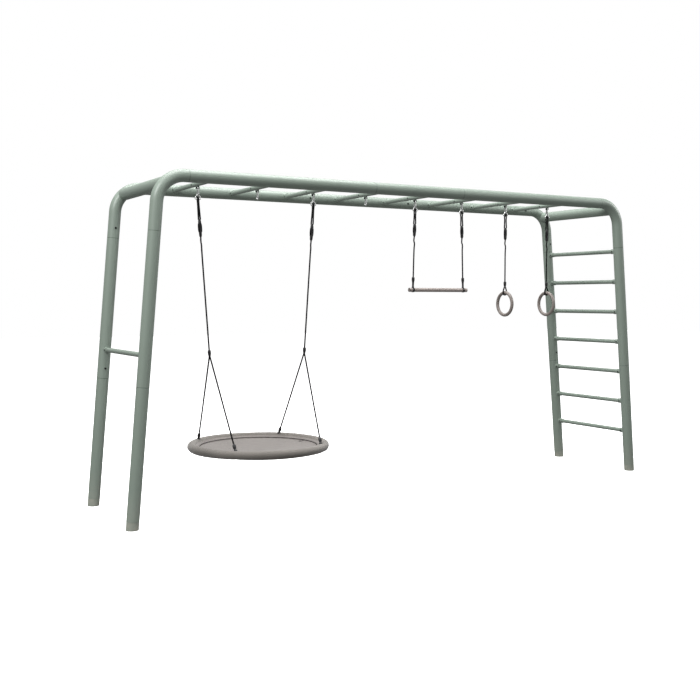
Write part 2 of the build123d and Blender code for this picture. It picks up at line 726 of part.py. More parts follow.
with BuildPart() as nest_rim_sleeve:
    with Locations((NEST_X, HOOK_Y, NEST_Z)):
        Torus(NEST_RIM_R, NEST_SLEEVE_R)
        Torus(NEST_RIM_R, NEST_RIM_TUBE_R + NEST_SLEEVE_GAP, mode=Mode.SUBTRACT)
save(nest_rim_sleeve, "nest_rim_sleeve")

with BuildPart() as nest_seat:
    seat_r = NEST_RIM_R - NEST_SLEEVE_R - SEAT_GAP
    bowl_r = (seat_r**2 + SEAT_SAG**2) / (2 * SEAT_SAG)
    bowl_turn = degrees(asin(seat_r / bowl_r))
    with BuildSketch(
        Plane(origin=(NEST_X, HOOK_Y, NEST_Z), x_dir=(1, 0, 0), z_dir=(0, -1, 0))
    ) as section:
        with BuildLine():
            top = CenterArc((0, bowl_r - SEAT_SAG), bowl_r, -90, bowl_turn)
            bottom = CenterArc((0, bowl_r - SEAT_SAG - SEAT_T), bowl_r, -90, bowl_turn)
            Line(top @ 0, bottom @ 0)
            Line(top @ 1, bottom @ 1)
        make_face()
    revolve(section.sketch, axis=Axis((NEST_X, HOOK_Y, 0), (0, 0, 1)))
save(nest_seat, "nest_seat")

# trapeze: two hangers and a bar
trapeze_hooks = [RUNG_XS[i] for i in TRAPEZE_RUNGS]
TRAPEZE_X = sum(trapeze_hooks) / 2
trapeze_lean = (TRAPEZE_ROPE_SPREAD / 2 - abs(trapeze_hooks[0] - TRAPEZE_X)) / (
    LINK_FOOT_Z - TRAPEZE_Z
)
trapeze_drops = drops(trapeze_lean, ADJUSTER_TOP_Z, TRAPEZE_BEAD_TOP_Z)
trapeze_sizes = (trapeze_drops[0], ADJUSTER_L, trapeze_drops[1])
trapeze_bar_r = TRAPEZE_BAR_D / 2
trapeze_hangers = [rope_plane(x, s * trapeze_lean) for x, s in zip(trapeze_hooks, (-1, 1))]
trapeze_half = TRAPEZE_BAR_L / 2


def add_trapeze_collar(hanging, x):
    """A sleeve below the bead and a collar round the bar, moulded as one piece."""
    neck_drop = trapeze_drops[1] + BEAD_L + FACE_GAP
    neck_l = drops(trapeze_lean, TRAPEZE_Z)[0] - neck_drop
    collar = Plane(origin=(x - COLLAR_L / 2, HOOK_Y, TRAPEZE_Z), z_dir=(1, 0, 0))
    bar_way = trapeze_bar_r + TRAPEZE_CAP_GAP
    with BuildPart(mode=Mode.PRIVATE) as neck:
        add_bar(down(hanging, neck_drop), neck_l, BEAD_NECK_R)
        add_bar(collar.offset(-COLLAR_L), 3 * COLLAR_L, bar_way + COLLAR_T / 2, mode=Mode.SUBTRACT)
    add(neck.part)
    add_bar(collar, COLLAR_L, bar_way + COLLAR_T, bar_way)


with BuildPart() as trapeze_hook_eyes:
    for x in trapeze_hooks:
        add_eye(x)
save(trapeze_hook_eyes, "trapeze_hook_eyes")

with BuildPart() as trapeze_links:
    for x in trapeze_hooks:
        add_link(x)
save(trapeze_links, "trapeze_links")

with BuildPart() as trapeze_ropes:
    for hanging in trapeze_hangers:
        add_hanger_rope(hanging, *trapeze_sizes)
save(trapeze_ropes, "trapeze_ropes")

with BuildPart() as trapeze_bar:
    bar_end = Plane(origin=(TRAPEZE_X - trapeze_half, HOOK_Y, TRAPEZE_Z), z_dir=(1, 0, 0))
    add_bar(bar_end, TRAPEZE_BAR_L, trapeze_bar_r, trapeze_bar_r - TRAPEZE_BAR_WALL)
save(trapeze_bar, "trapeze_bar")

with BuildPart() as trapeze_fittings:
    for hanging, side in zip(trapeze_hangers, (-1, 1)):
        add_hanger_fittings(hanging, *trapeze_sizes)
        add_trapeze_collar(hanging, TRAPEZE_X + side * TRAPEZE_ROPE_SPREAD / 2)
    for side in (-1, 1):
        add_turned(
            (TRAPEZE_X + side * trapeze_half, HOOK_Y, TRAPEZE_Z),
            (side, 0, 0),
            [
                (0, -TRAPEZE_CAP_PLUG_L),
                (trapeze_bar_r - TRAPEZE_BAR_WALL - TRAPEZE_CAP_GAP, -TRAPEZE_CAP_PLUG_L),
                (trapeze_bar_r - TRAPEZE_BAR_WALL - TRAPEZE_CAP_GAP, 0),
                (trapeze_bar_r, 0),
                (trapeze_bar_r, TRAPEZE_CAP_T / 2),
                (trapeze_bar_r - TRAPEZE_CAP_T / 2, TRAPEZE_CAP_T),
                (0, TRAPEZE_CAP_T),
            ],
        )
save(trapeze_fittings, "trapeze_fittings")

# gym rings: each has its own eye, link, rope and ring
for ring_name, rung in RING_RUNGS.items():
    x = RUNG_XS[rung]
    hanging = rope_plane(x)
    ring_drops = drops(0.0, ADJUSTER_TOP_Z, RING_BEAD_TOP_Z)
    ring_sizes = (ring_drops[0], ADJUSTER_L, ring_drops[1])
    ring_tube_z = RING_TOP_Z - RING_BAR_R

    with BuildPart() as ring_eye:
        add_eye(x)
    save(ring_eye, f"{ring_name}_hook_eye")

    with BuildPart() as ring_link:
        add_link(x)
    save(ring_link, f"{ring_name}_link")

    with BuildPart() as ring_rope:
        add_hanger_rope(hanging, *ring_sizes)
        around = Plane(origin=(x, HOOK_Y, ring_tube_z), x_dir=(1, 0, 0), z_dir=(0, -1, 0))
        loop_top = RING_BEAD_TOP_Z - BEAD_L - RING_LOOP_START - ring_tube_z
        loop_r = RING_BAR_R + RING_LOOP_GAP + ROPE_R
        add_pipe(loop_wire(around, RING_LOOP_HALF, loop_top, loop_r), ROPE_R)
    save(ring_rope, f"{ring_name}_rope")

    with BuildPart() as ring_fittings:
        add_hanger_fittings(hanging, *ring_sizes)
    save(ring_fittings, f"{ring_name}_rope_fittings")

    with BuildPart() as gym_ring:
        with Locations((x, HOOK_Y, RING_TOP_Z - RING_D / 2)):
            Torus(RING_D / 2 - RING_BAR_R, RING_BAR_R, rotation=(0, 90, 0))
    save(gym_ring, ring_name)

# the second and fourth hooks hang free
for hook_name, rung in SPARE_HOOKS.items():
    with BuildPart() as spare_hook:
        add_eye(RUNG_XS[rung])
    save(spare_hook, hook_name)
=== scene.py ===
# %% [markdown]
# # Monkey bars with a nest swing, a trapeze and two gym rings
#
# The steel frame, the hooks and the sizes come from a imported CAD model, so this lesson only gives
# every surface its finish and rebuilds the pieces that CAD draws plainly: ropes, moulded fittings,
# fabric and bolt heads. The frame is loaded first, and nothing in it is moved.

# %% Load the fixed frame
import json
from math import atan2, cos, exp, hypot, pi, radians, sin, sqrt, tan, tau

import bmesh
import bpy
from mathutils import Matrix, Vector


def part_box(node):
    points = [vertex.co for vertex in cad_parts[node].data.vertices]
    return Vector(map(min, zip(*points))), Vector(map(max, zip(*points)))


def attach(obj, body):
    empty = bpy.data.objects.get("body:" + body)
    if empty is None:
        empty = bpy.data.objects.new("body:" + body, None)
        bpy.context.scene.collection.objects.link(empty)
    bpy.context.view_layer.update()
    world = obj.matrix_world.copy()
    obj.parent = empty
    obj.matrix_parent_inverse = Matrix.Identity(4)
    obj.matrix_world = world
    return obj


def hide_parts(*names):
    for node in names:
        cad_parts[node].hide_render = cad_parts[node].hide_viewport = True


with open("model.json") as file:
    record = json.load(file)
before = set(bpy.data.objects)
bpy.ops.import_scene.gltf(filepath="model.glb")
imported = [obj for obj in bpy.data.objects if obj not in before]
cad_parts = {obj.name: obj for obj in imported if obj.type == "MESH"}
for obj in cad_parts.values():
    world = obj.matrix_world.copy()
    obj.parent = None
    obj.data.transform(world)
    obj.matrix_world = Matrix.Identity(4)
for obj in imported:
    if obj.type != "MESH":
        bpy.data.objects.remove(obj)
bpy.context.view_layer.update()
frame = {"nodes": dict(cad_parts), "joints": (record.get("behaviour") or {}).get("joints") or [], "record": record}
joints = {joint["name"]: Vector(joint["pos_m"]) for joint in frame["joints"]}
scene = bpy.context.scene
print("CAD nodes:", len(frame["nodes"]), "joints:", len(joints))

# %% [markdown]
# ## Camera
#
# The frame is seen from its front left, a little above a child's eye level, through a normal lens.
# A camera that looks slightly down has to be turned about its own side axis first and about the
# vertical afterwards, which is what the Euler angles X and then Z do.

# %% The camera
CAMERA_PLACE = Vector((-3.933, -6.177, 1.393))
CAMERA_TURN = radians(30.353)  # from straight to the rear towards the right
CAMERA_DIP = radians(2.926)
CAMERA_LENS = 50.77  # millimetres

camera_data = bpy.data.cameras.new("camera")
camera_data.lens = CAMERA_LENS
camera_data.sensor_width = 36
camera_data.clip_end = 60
camera = bpy.data.objects.new("camera", camera_data)
camera.location = CAMERA_PLACE
camera.rotation_euler = (pi / 2 - CAMERA_DIP, 0, -CAMERA_TURN)
scene.collection.objects.link(camera)
scene.camera = camera
print("camera at", tuple(CAMERA_PLACE))

# %% [markdown]
# ## Shader node groups
#
# Several finishes share the same effects: a slow mottle of the colour, a fine grain in the surface,
# dust that gathers near the ground, and a woven cloth. Each effect is a node group with named
# inputs, so that every material can use it with its own values. All of them read Object
# coordinates or a piece's own UV map, which stay with the piece when it moves.


# %% A helper that starts a node group
def start_group(name, inputs, outputs):
    """A new node group with its input and output nodes. Sockets are (name, kind, value)."""
    group = bpy.data.node_groups.new(name, "ShaderNodeTree")
    for label, kind, value in inputs:
        socket = group.interface.new_socket(label, in_out="INPUT", socket_type=kind)
        if value is not None:
            socket.default_value = value
    for label, kind in outputs:
        group.interface.new_socket(label, in_out="OUTPUT", socket_type=kind)
    enter = group.nodes.new("NodeGroupInput")
    leave = group.nodes.new("NodeGroupOutput")
    return group, enter, leave


def add_math(tree, operation, first, second):
    """A math node; each input is a socket or a number."""
    node = tree.nodes.new("ShaderNodeMath")
    node.operation = operation
    for socket, value in zip(node.inputs, (first, second)):
        if isinstance(value, (int, float)):
            socket.default_value = value
        else:
            tree.links.new(value, socket)
    return node.outputs[0]


def add_noise(tree, vector, scale, detail=3.0):
    """A noise texture's value, from 0 to 1."""
    node = tree.nodes.new("ShaderNodeTexNoise")
    node.inputs["Detail"].default_value = detail
    tree.links.new(vector, node.inputs["Vector"])
    if isinstance(scale, (int, float)):
        node.inputs["Scale"].default_value = scale
    else:
        tree.links.new(scale, node.inputs["Scale"])
    return node.outputs["Fac"]


def add_mix(tree, factor, first, second):
    """A colour between two others. Each is a socket or a colour."""
    node = tree.nodes.new("ShaderNodeMix")
    node.data_type = "RGBA"
    sockets = (node.inputs[0], node.inputs[6], node.inputs[7])
    for socket, value in zip(sockets, (factor, first, second)):
        if isinstance(value, (int, float, tuple)):
            socket.default_value = value
        else:
            tree.links.new(value, socket)
    return node.outputs[2]


# %% Mottle: a colour that drifts a little lighter and darker
VECTOR, NUMBER, COLOUR = "NodeSocketVector", "NodeSocketFloat", "NodeSocketColor"

mottle, enter, leave = start_group(
    "Mottle",
    [("Vector", VECTOR, None), ("Colour", COLOUR, None), ("Amount", NUMBER, 0.1), ("Scale", NUMBER, 6.0)],
    [("Colour", COLOUR), ("Mask", NUMBER)],
)
drift = add_noise(mottle, enter.outputs["Vector"], enter.outputs["Scale"], 5.0)
swing = add_math(mottle, "SUBTRACT", drift, 0.5)
swing = add_math(mottle, "MULTIPLY", swing, enter.outputs["Amount"])
shade = mottle.nodes.new("ShaderNodeHueSaturation")
mottle.links.new(add_math(mottle, "ADD", swing, 1.0), shade.inputs["Value"])
mottle.links.new(enter.outputs["Colour"], shade.inputs["Color"])
mottle.links.new(shade.outputs["Color"], leave.inputs["Colour"])
mottle.links.new(drift, leave.inputs["Mask"])
print("group:", mottle.name)

# %% Grain: the fine unevenness of a coating or a moulded surface
grain, enter, leave = start_group(
    "Grain",
    [
        ("Vector", VECTOR, None),
        ("Scale", NUMBER, 400.0),
        ("Roughness", NUMBER, 0.4),
        ("Spread", NUMBER, 0.1),
    ],
    [("Height", NUMBER), ("Roughness", NUMBER)],
)
fine = add_noise(grain, enter.outputs["Vector"], enter.outputs["Scale"], 2.0)
coarse = add_noise(grain, enter.outputs["Vector"], 9.0, 4.0)
swing = add_math(grain, "SUBTRACT", coarse, 0.5)
swing = add_math(grain, "MULTIPLY", swing, enter.outputs["Spread"])
grain.links.new(add_math(grain, "ADD", swing, enter.outputs["Roughness"]), leave.inputs["Roughness"])
grain.links.new(fine, leave.inputs["Height"])
print("group:", grain.name)

# %% Dust: a paler, matter film that fades with height above the ground
dust, enter, leave = start_group(
    "Dust",
    [
        ("Vector", VECTOR, None),
        ("Colour", COLOUR, None),
        ("Dust colour", COLOUR, (0.52, 0.48, 0.41, 1.0)),
        ("Reach", NUMBER, 0.25),
        ("Strength", NUMBER, 0.4),
    ],
    [("Colour", COLOUR), ("Mask", NUMBER)],
)
parts = dust.nodes.new("ShaderNodeSeparateXYZ")
dust.links.new(enter.outputs["Vector"], parts.inputs[0])
fade = add_math(dust, "DIVIDE", parts.outputs["Z"], enter.outputs["Reach"])
fade = add_math(dust, "SUBTRACT", 1.0, fade)
fade = add_math(dust, "MAXIMUM", fade, 0.0)
patches = add_noise(dust, enter.outputs["Vector"], 38.0, 6.0)
mask = add_math(dust, "MULTIPLY", fade, patches)
mask = add_math(dust, "MULTIPLY", mask, enter.outputs["Strength"])
dusty = add_mix(dust, mask, enter.outputs["Colour"], enter.outputs["Dust colour"])
dust.links.new(dusty, leave.inputs["Colour"])
dust.links.new(mask, leave.inputs["Mask"])
print("group:", dust.name)

# %% Weave: over-and-under threads, counted in threads per unit of the vector, with painted shade between them
weave, enter, leave = start_group(
    "Weave",
    [
        ("Vector", VECTOR, None),
        ("Colour", COLOUR, None),
        ("Gap colour", COLOUR, None),
        ("Threads", NUMBER, 700.0),
    ],
    [("Colour", COLOUR), ("Height", NUMBER)],
)
parts = weave.nodes.new("ShaderNodeSeparateXYZ")
weave.links.new(enter.outputs["Vector"], parts.inputs[0])
warp = add_math(weave, "MULTIPLY", parts.outputs["X"], enter.outputs["Threads"])
weft = add_math(weave, "MULTIPLY", parts.outputs["Y"], enter.outputs["Threads"])
across = add_math(weave, "ABSOLUTE", add_math(weave, "SINE", warp, 0.0), 0.0)
along = add_math(weave, "ABSOLUTE", add_math(weave, "SINE", weft, 0.0), 0.0)
crossing = add_math(weave, "SINE", add_math(weave, "ADD", warp, weft), 0.0)
over = add_math(weave, "GREATER_THAN", crossing, 0.0)
thread = add_math(weave, "MULTIPLY", across, over)
under = add_math(weave, "MULTIPLY", along, add_math(weave, "SUBTRACT", 1.0, over))
height = add_math(weave, "ADD", thread, under)
fuzz = add_noise(weave, enter.outputs["Vector"], 220.0, 3.0)
height = add_math(weave, "ADD", height, add_math(weave, "MULTIPLY", fuzz, 0.3))
# Where the threads sink, the darker gap colour is painted shade between them
lit = add_math(weave, "MULTIPLY", height, 0.85)
woven = add_mix(weave, lit, enter.outputs["Gap colour"], enter.outputs["Colour"])
weave.links.new(woven, leave.inputs["Colour"])
weave.links.new(height, leave.inputs["Height"])
print("group:", weave.name)


# %% [markdown]
# ## Materials
#
# Each material is a Principled shader fed by the groups. A value that is the same all over, such
# as the sheen of cloth or a coat's roughness, is set on the shader's own socket. The steel tubes are
# powder coated in a satin sage green, which shows a fine orange peel close up.


# %% Helpers that start a material and place a group in it
def start_material(name, metallic=0.0, coat=0.0, sheen=0.0):
    """A material's node tree, its shader and the Object coordinates."""
    material = bpy.data.materials.new(name)
    material.use_nodes = True
    tree = material.node_tree
    shader = tree.nodes["Principled BSDF"]
    shader.inputs["Metallic"].default_value = metallic
    shader.inputs["Coat Weight"].default_value = coat
    shader.inputs["Coat Roughness"].default_value = 0.25
    shader.inputs["Sheen Weight"].default_value = sheen
    place = tree.nodes.new("ShaderNodeTexCoord")
    return material, tree, shader, place.outputs["Object"]


def place_group(tree, group, **values):
    """A node group in a material. A value is a socket to link or a constant; _ stands for a space."""
    node = tree.nodes.new("ShaderNodeGroup")
    node.node_tree = group
    for label, value in values.items():
        socket = node.inputs[label.replace("_", " ")]
        if isinstance(value, bpy.types.NodeSocket):
            tree.links.new(value, socket)
        else:
            socket.default_value = value
    return node.outputs


def add_bump(tree, shader, height, strength, distance):
    """A bump from a height, on the shader's Normal."""
    node = tree.nodes.new("ShaderNodeBump")
    node.inputs["Strength"].default_value = strength
    node.inputs["Distance"].default_value = distance
    tree.links.new(height, node.inputs["Height"])
    tree.links.new(node.outputs["Normal"], shader.inputs["Normal"])


def coated(name, colour, roughness, peel, metallic=0.0, coat=0.0, dust_strength=0.35):
    """A painted or moulded surface: mottled colour, dusty near the ground, with a fine grain."""
    material, tree, shader, place = start_material(name, metallic, coat)
    tone = place_group(tree, mottle, Vector=place, Colour=(*colour, 1.0), Amount=0.09, Scale=3.0)
    film = place_group(tree, dust, Vector=place, Colour=tone["Colour"], Strength=dust_strength)
    skin = place_group(tree, grain, Vector=place, Scale=peel, Roughness=roughness, Spread=0.12)
    tree.links.new(film["Colour"], shader.inputs["Base Color"])
    rough = add_math(tree, "ADD", skin["Roughness"], film["Mask"])
    tree.links.new(rough, shader.inputs["Roughness"])
    add_bump(tree, shader, skin["Height"], 0.25, 0.0004)
    return material


# %% Painted, plated and moulded finishes
SAGE = (0.235, 0.285, 0.243)
sage_paint = coated("sage_powder_coat", SAGE, 0.44, 420.0, coat=0.1)
foot_rubber = coated("foot_rubber", (0.235, 0.285, 0.245), 0.62, 650.0, dust_strength=0.8)
black_steel = coated("black_steel", (0.018, 0.018, 0.019), 0.38, 500.0, metallic=0.4)
black_plastic = coated("black_moulding", (0.014, 0.014, 0.015), 0.46, 900.0)
taupe_paint = coated("taupe_paint", (0.36, 0.315, 0.295), 0.4, 500.0, coat=0.2)
taupe_plastic = coated("taupe_moulding", (0.25, 0.218, 0.2), 0.48, 750.0)
print("coated finishes:", [m.name for m in bpy.data.materials if m.users or m.use_nodes][:8])


# %% [markdown]
# Zinc plating is metal, so its colour is the colour of its reflection. Hot-dipped zinc shows large
# flat crystals, a cell pattern in which every cell is a slightly different grey and gloss.


# %% Zinc plating with its crystals
def zinc(name, colour, roughness):
    """Bright zinc, in cells of slightly different shade and gloss."""
    material, tree, shader, place = start_material(name, metallic=1.0)
    cells = tree.nodes.new("ShaderNodeTexVoronoi")
    cells.inputs["Scale"].default_value = 260.0
    tree.links.new(place, cells.inputs["Vector"])
    split = tree.nodes.new("ShaderNodeSeparateColor")
    tree.links.new(cells.outputs["Color"], split.inputs[0])
    darker = tuple(c * 0.72 for c in colour)
    shade = add_mix(tree, split.outputs["Red"], (*darker, 1.0), (*colour, 1.0))
    tree.links.new(shade, shader.inputs["Base Color"])
    gloss = add_math(tree, "MULTIPLY", split.outputs["Green"], 0.16)
    tree.links.new(add_math(tree, "ADD", gloss, roughness), shader.inputs["Roughness"])
    skin = place_group(tree, grain, Vector=place, Scale=300.0)
    add_bump(tree, shader, skin["Height"], 0.2, 0.0003)
    return material


zinc_plate = zinc("zinc_plate", (0.86, 0.87, 0.86), 0.3)
bare_tube = zinc("bare_tube", (0.6, 0.6, 0.6), 0.42)
print("zinc finishes ready")


# %% [markdown]
# Cloth scatters light at grazing angles, which the shader's sheen gives. The weave follows
# the surface, so on a rolled or curved piece it reads the UV map, and on the flat seat it reads
# Object coordinates. A rope's braid is real relief in its mesh, and only its fibres are a bump.


# %% Cloth and rope
def cloth(name, colour, gap_shade, threads, from_uv):
    """A woven fabric whose thread count is per metre of its vector, with painted shade in the gaps between
    threads.
    """
    material, tree, shader, place = start_material(name, sheen=0.35)
    if from_uv:
        place = tree.nodes["Texture Coordinate"].outputs["UV"]
    cloth_weave = place_group(
        tree, weave, Vector=place, Colour=(*colour, 1.0), Gap_colour=(*gap_shade, 1.0), Threads=threads
    )
    tone = place_group(tree, mottle, Vector=place, Colour=cloth_weave["Colour"], Amount=0.16, Scale=5.0)
    tree.links.new(tone["Colour"], shader.inputs["Base Color"])
    shader.inputs["Roughness"].default_value = 0.82
    add_bump(tree, shader, cloth_weave["Height"], 0.35, 0.0006)
    return material


def braided(name, colour):
    """Black braided rope: fine fibres along each strand."""
    material, tree, shader, _ = start_material(name)
    shader.inputs["Specular IOR Level"].default_value = 0.15
    uv = tree.nodes["Texture Coordinate"].outputs["UV"]
    stretch = tree.nodes.new("ShaderNodeMapping")
    stretch.inputs["Scale"].default_value = (60.0, 6.0, 1.0)
    tree.links.new(uv, stretch.inputs["Vector"])
    tone = place_group(tree, mottle, Vector=stretch.outputs[0], Colour=(*colour, 1.0), Amount=0.6, Scale=1.0)
    tree.links.new(tone["Colour"], shader.inputs["Base Color"])
    shader.inputs["Roughness"].default_value = 0.78
    add_bump(tree, shader, tone["Mask"], 0.5, 0.0005)
    return material


rope_fibre = braided("rope_fibre", (0.004, 0.004, 0.0045))
# Each cloth's second colour is painted shade in the gaps between its threads
rim_cloth = cloth("rim_cloth", (0.205, 0.188, 0.168), (0.08, 0.072, 0.064), 1900.0, True)
seat_cloth = cloth("seat_cloth", (0.215, 0.192, 0.178), (0.085, 0.074, 0.067), 1500.0, False)
thread = coated("dark_thread", (0.022, 0.019, 0.018), 0.7, 1500.0)
print("cloth, rope and thread ready")

# %% [markdown]
# ## Finishes for the CAD nodes that stay
#
# Tubes, rungs, eyes and links already have their true shape, so they only need a material. A node's
# material slot in the record says what it is made of.

# %% Give every CAD node its material
finish_of_slot = {
    "frame_paint": sage_paint,
    "foot_rubber": foot_rubber,
    "black_steel": black_steel,
    "black_nylon": black_plastic,
    "galvanised_steel": zinc_plate,
    "black_rope": rope_fibre,
    "black_plastic": black_plastic,
    "bare_steel_tube": bare_tube,
    "rim_fabric": rim_cloth,
    "seat_fabric": seat_cloth,
    "taupe_paint": taupe_paint,
    "taupe_plastic": taupe_plastic,
}
slot_of_node = {part["node"]: part["material_slot"] for part in frame["record"]["subparts"]}
for name, node in frame["nodes"].items():
    node.data.materials.clear()
    node.data.materials.append(finish_of_slot[slot_of_node[name]])
print("finished nodes:", len(slot_of_node))

# %% [markdown]
# ## Places that the frame gives
#
# The hanging parts are placed from the joints and from the boxes of the CAD nodes: the middle of
# each hook, the foot of its link, the top and foot of its adjuster, and so on. The few sizes below
# are the ones that the CAD model drives and a box doesn't show.

# %% Sizes and places in metres
ROPE_R = 0.005
LINK_BAR_R = 0.00325
THIMBLE_R = 0.0059
LOOP_R = THIMBLE_R + 0.0001 + ROPE_R
STRAND_HALF = 0.009
ADJUSTER_DROP, NEST_ADJUSTER_DROP = 0.092, 0.129
ADJUSTER_L, NEST_ADJUSTER_L = 0.097, 0.118
BEAD_L = 0.042
EYE_HALF_T = 0.004

HOOK_Y = joints["nest_swing"].y
LINK_FOOT_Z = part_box("nest_links")[0].z + LINK_BAR_R
rim_low, rim_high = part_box("nest_rim_sleeve")
NEST = (rim_low + rim_high) / 2
SLEEVE_R = (rim_high.z - rim_low.z) / 2
RIM_R = (rim_high.x - rim_low.x) / 2 - SLEEVE_R
bar_low, bar_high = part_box("trapeze_bar")
BAR = (bar_low + bar_high) / 2
BAR_R = (bar_high.z - bar_low.z) / 2


def hook_xs(node):
    """The middles of a node's one or two hook eyes along X."""
    low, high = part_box(node)
    return sorted({round(low.x + EYE_HALF_T, 5), round(high.x - EYE_HALF_T, 5)})


print("nest middle", tuple(round(v, 4) for v in NEST), "hooks", hook_xs("nest_hook_eyes"))

# %% [markdown]
# ## How the ropes hang
#
# Every hanger is the same chain: a zinc link in the hook's eye, a rope doubled over a small thimble
# on the link, an adjuster that grips both strands, one rope down to a bead, and the load below. A
# hanger is written down once, as a starting point, a lean along X and three drops, and every piece
# on it asks this record where it belongs.


# %% The six hangers
class Hanger:
    """One rope chain: it starts at a link's foot and leans along X as it goes down."""

    def __init__(self, name, body, x, foot_x, foot_z, adjuster_drop, adjuster_l, bead_top_z):
        self.name, self.body = name, body
        self.top = Vector((x, HOOK_Y, LINK_FOOT_Z))
        foot = Vector((foot_x, HOOK_Y, foot_z))
        self.down = (foot - self.top).normalized()
        self.adjuster_drop = adjuster_drop
        self.adjuster_l = adjuster_l
        self.bead_drop = (bead_top_z - LINK_FOOT_Z) / self.down.z

    def at(self, drop, along_y=0.0, along_x=0.0):
        """The point that lies drop below the link, moved across the rope."""
        sideways = Vector((-self.down.z, 0, self.down.x))
        return self.top + self.down * drop + Vector((0, along_y, 0)) + sideways * along_x


NEST_BEAD_RISE, TRAPEZE_BEAD_RISE, RING_BEAD_RISE = 0.662, 0.095, 0.075  # above each load
NEST_BEAD_TOP_Z = NEST.z + NEST_BEAD_RISE
TIE_TURN = radians(47)
TIE_X, TIE_Y = RIM_R * cos(TIE_TURN), RIM_R * sin(TIE_TURN)
TRAPEZE_SPREAD = 0.463
RING_TOP_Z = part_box("left_ring")[1].z
RING_BAR_R = (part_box("left_ring")[1].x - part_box("left_ring")[0].x) / 2

nest_hangers = [
    Hanger(
        f"nest_{word}", "nest", x, NEST.x + side * TIE_X, NEST.z,
        NEST_ADJUSTER_DROP, NEST_ADJUSTER_L, NEST_BEAD_TOP_Z,
    )
    for word, side, x in zip(("left", "right"), (-1, 1), hook_xs("nest_hook_eyes"))
]
trapeze_hangers = [
    Hanger(
        f"trapeze_{word}", "trapeze", x, BAR.x + side * TRAPEZE_SPREAD / 2, BAR.z,
        ADJUSTER_DROP, ADJUSTER_L, BAR.z + TRAPEZE_BEAD_RISE,
    )
    for word, side, x in zip(("left", "right"), (-1, 1), hook_xs("trapeze_hook_eyes"))
]
ring_hangers = [
    Hanger(
        name, f"{name}_hanger", x, x, RING_TOP_Z,
        ADJUSTER_DROP, ADJUSTER_L, RING_TOP_Z + RING_BEAD_RISE,
    )
    for name in ("left_ring", "right_ring")
    for x in hook_xs(f"{name}_hook_eye")
]
hangers = nest_hangers + trapeze_hangers + ring_hangers
print("hangers:", [h.name for h in hangers])

# %% [markdown]
# ## Braided rope
#
# A rope is a cord of a real length, so its route comes first, as a smooth NURBS line through a few
# chosen points. The braid is modelled as real relief: a flat grid, made with one operator, is
# rolled round that line, and each vertex is pushed in where two strands of the braid cross over.

# %% A route's smooth line
BRAID_STEP = 0.0013
BRAID_AROUND = 24
BRAID_STRANDS = 6
BRAID_RELIEF = 0.0005
STRAND_PITCH = 0.1  # the length of rope that one unit of its UV map covers
BRAID_PROUD = 0.0003  # of the strands' crowns beyond the rope's nominal radius


def smooth_line(points):
    """Closely spaced points along a route's NURBS spline."""
    curve = bpy.data.curves.new("route", "CURVE")
    curve.dimensions = "3D"
    curve.resolution_u = 24
    spline = curve.splines.new("NURBS")
    spline.points.add(len(points) - 1)
    for knot, place in zip(spline.points, points):
        knot.co = (*place, 1)
    spline.order_u = 3
    spline.use_endpoint_u = True
    holder = bpy.data.objects.new("route", curve)
    mesh = bpy.data.meshes.new_from_object(holder)
    line = [vertex.co.copy() for vertex in mesh.vertices]
    bpy.data.meshes.remove(mesh)
    bpy.data.objects.remove(holder)
    bpy.data.curves.remove(curve)
    return line


def evenly(line, step):
    """The same line in equal steps, and its length."""
    reach = [0.0]
    for a, b in zip(line, line[1:]):
        reach.append(reach[-1] + (b - a).length)
    count = max(2, round(reach[-1] / step))
    even, leg = [], 0
    for i in range(count + 1):
        goal = reach[-1] * i / count
        while leg < len(line) - 2 and reach[leg + 1] < goal:
            leg += 1
        share = (goal - reach[leg]) / max(reach[leg + 1] - reach[leg], 1e-9)
        even.append(line[leg].lerp(line[leg + 1], min(share, 1.0)))
    return even, reach[-1]


# %% Rolling a grid into a braided rope
def upright_frames(line):
    """At each point of a line, two directions across it that don't twist."""
    ahead = (line[1] - line[0]).normalized()
    side = ahead.orthogonal().normalized()
    frames = []
    for i in range(len(line)):
        ahead = (line[min(i + 1, len(line) - 1)] - line[max(i - 1, 0)]).normalized()
        side = (side - ahead * side.dot(ahead)).normalized()
        frames.append((side, ahead.cross(side)))
    return frames


def braid(turn, distance):
    """How far a point of the surface lies below the crown of its strand, from 0 to 1."""
    twist = distance * 0.8 / ROPE_R
    one = abs(sin((BRAID_STRANDS * turn + twist) / 2))
    other = abs(sin((BRAID_STRANDS * turn - twist) / 2))
    return 1 - max(one, other)


def roll_rope(bm, line, length, radius):
    """A braided tube round an even line, closed at its ends, with a UV map in strand lengths."""
    start = len(bm.verts)
    uv = bm.loops.layers.uv.verify()
    bmesh.ops.create_grid(
        bm, x_segments=BRAID_AROUND, y_segments=len(line) - 1, size=0.5, calc_uvs=True
    )
    for face in bm.faces:
        for loop in face.loops:
            loop[uv].uv.y *= length / STRAND_PITCH
    bm.verts.ensure_lookup_table()
    frames = upright_frames(line)
    fresh = bm.verts[start:]
    for vertex in fresh:
        turn = (vertex.co.x + 0.5) * tau
        i = round((vertex.co.y + 0.5) * (len(line) - 1))
        side, up = frames[i]
        out = radius + BRAID_PROUD - BRAID_RELIEF * braid(turn, length * i / (len(line) - 1))
        vertex.co = line[i] + (side * cos(turn) + up * sin(turn)) * out
    bmesh.ops.remove_doubles(bm, verts=fresh, dist=1e-6)
    open_edges = [edge for edge in bm.edges if edge.is_boundary]
    bmesh.ops.holes_fill(bm, edges=open_edges)


# %% [markdown]
# ## Making a piece
#
# A bmesh becomes an object at the origin with its place in its mesh. Faces that meet at a gentle
# angle are smoothed, and a sharp edge stays sharp, so one function finishes turned, moulded and
# rolled pieces alike.

# %% From a bmesh to a finished piece
made = []


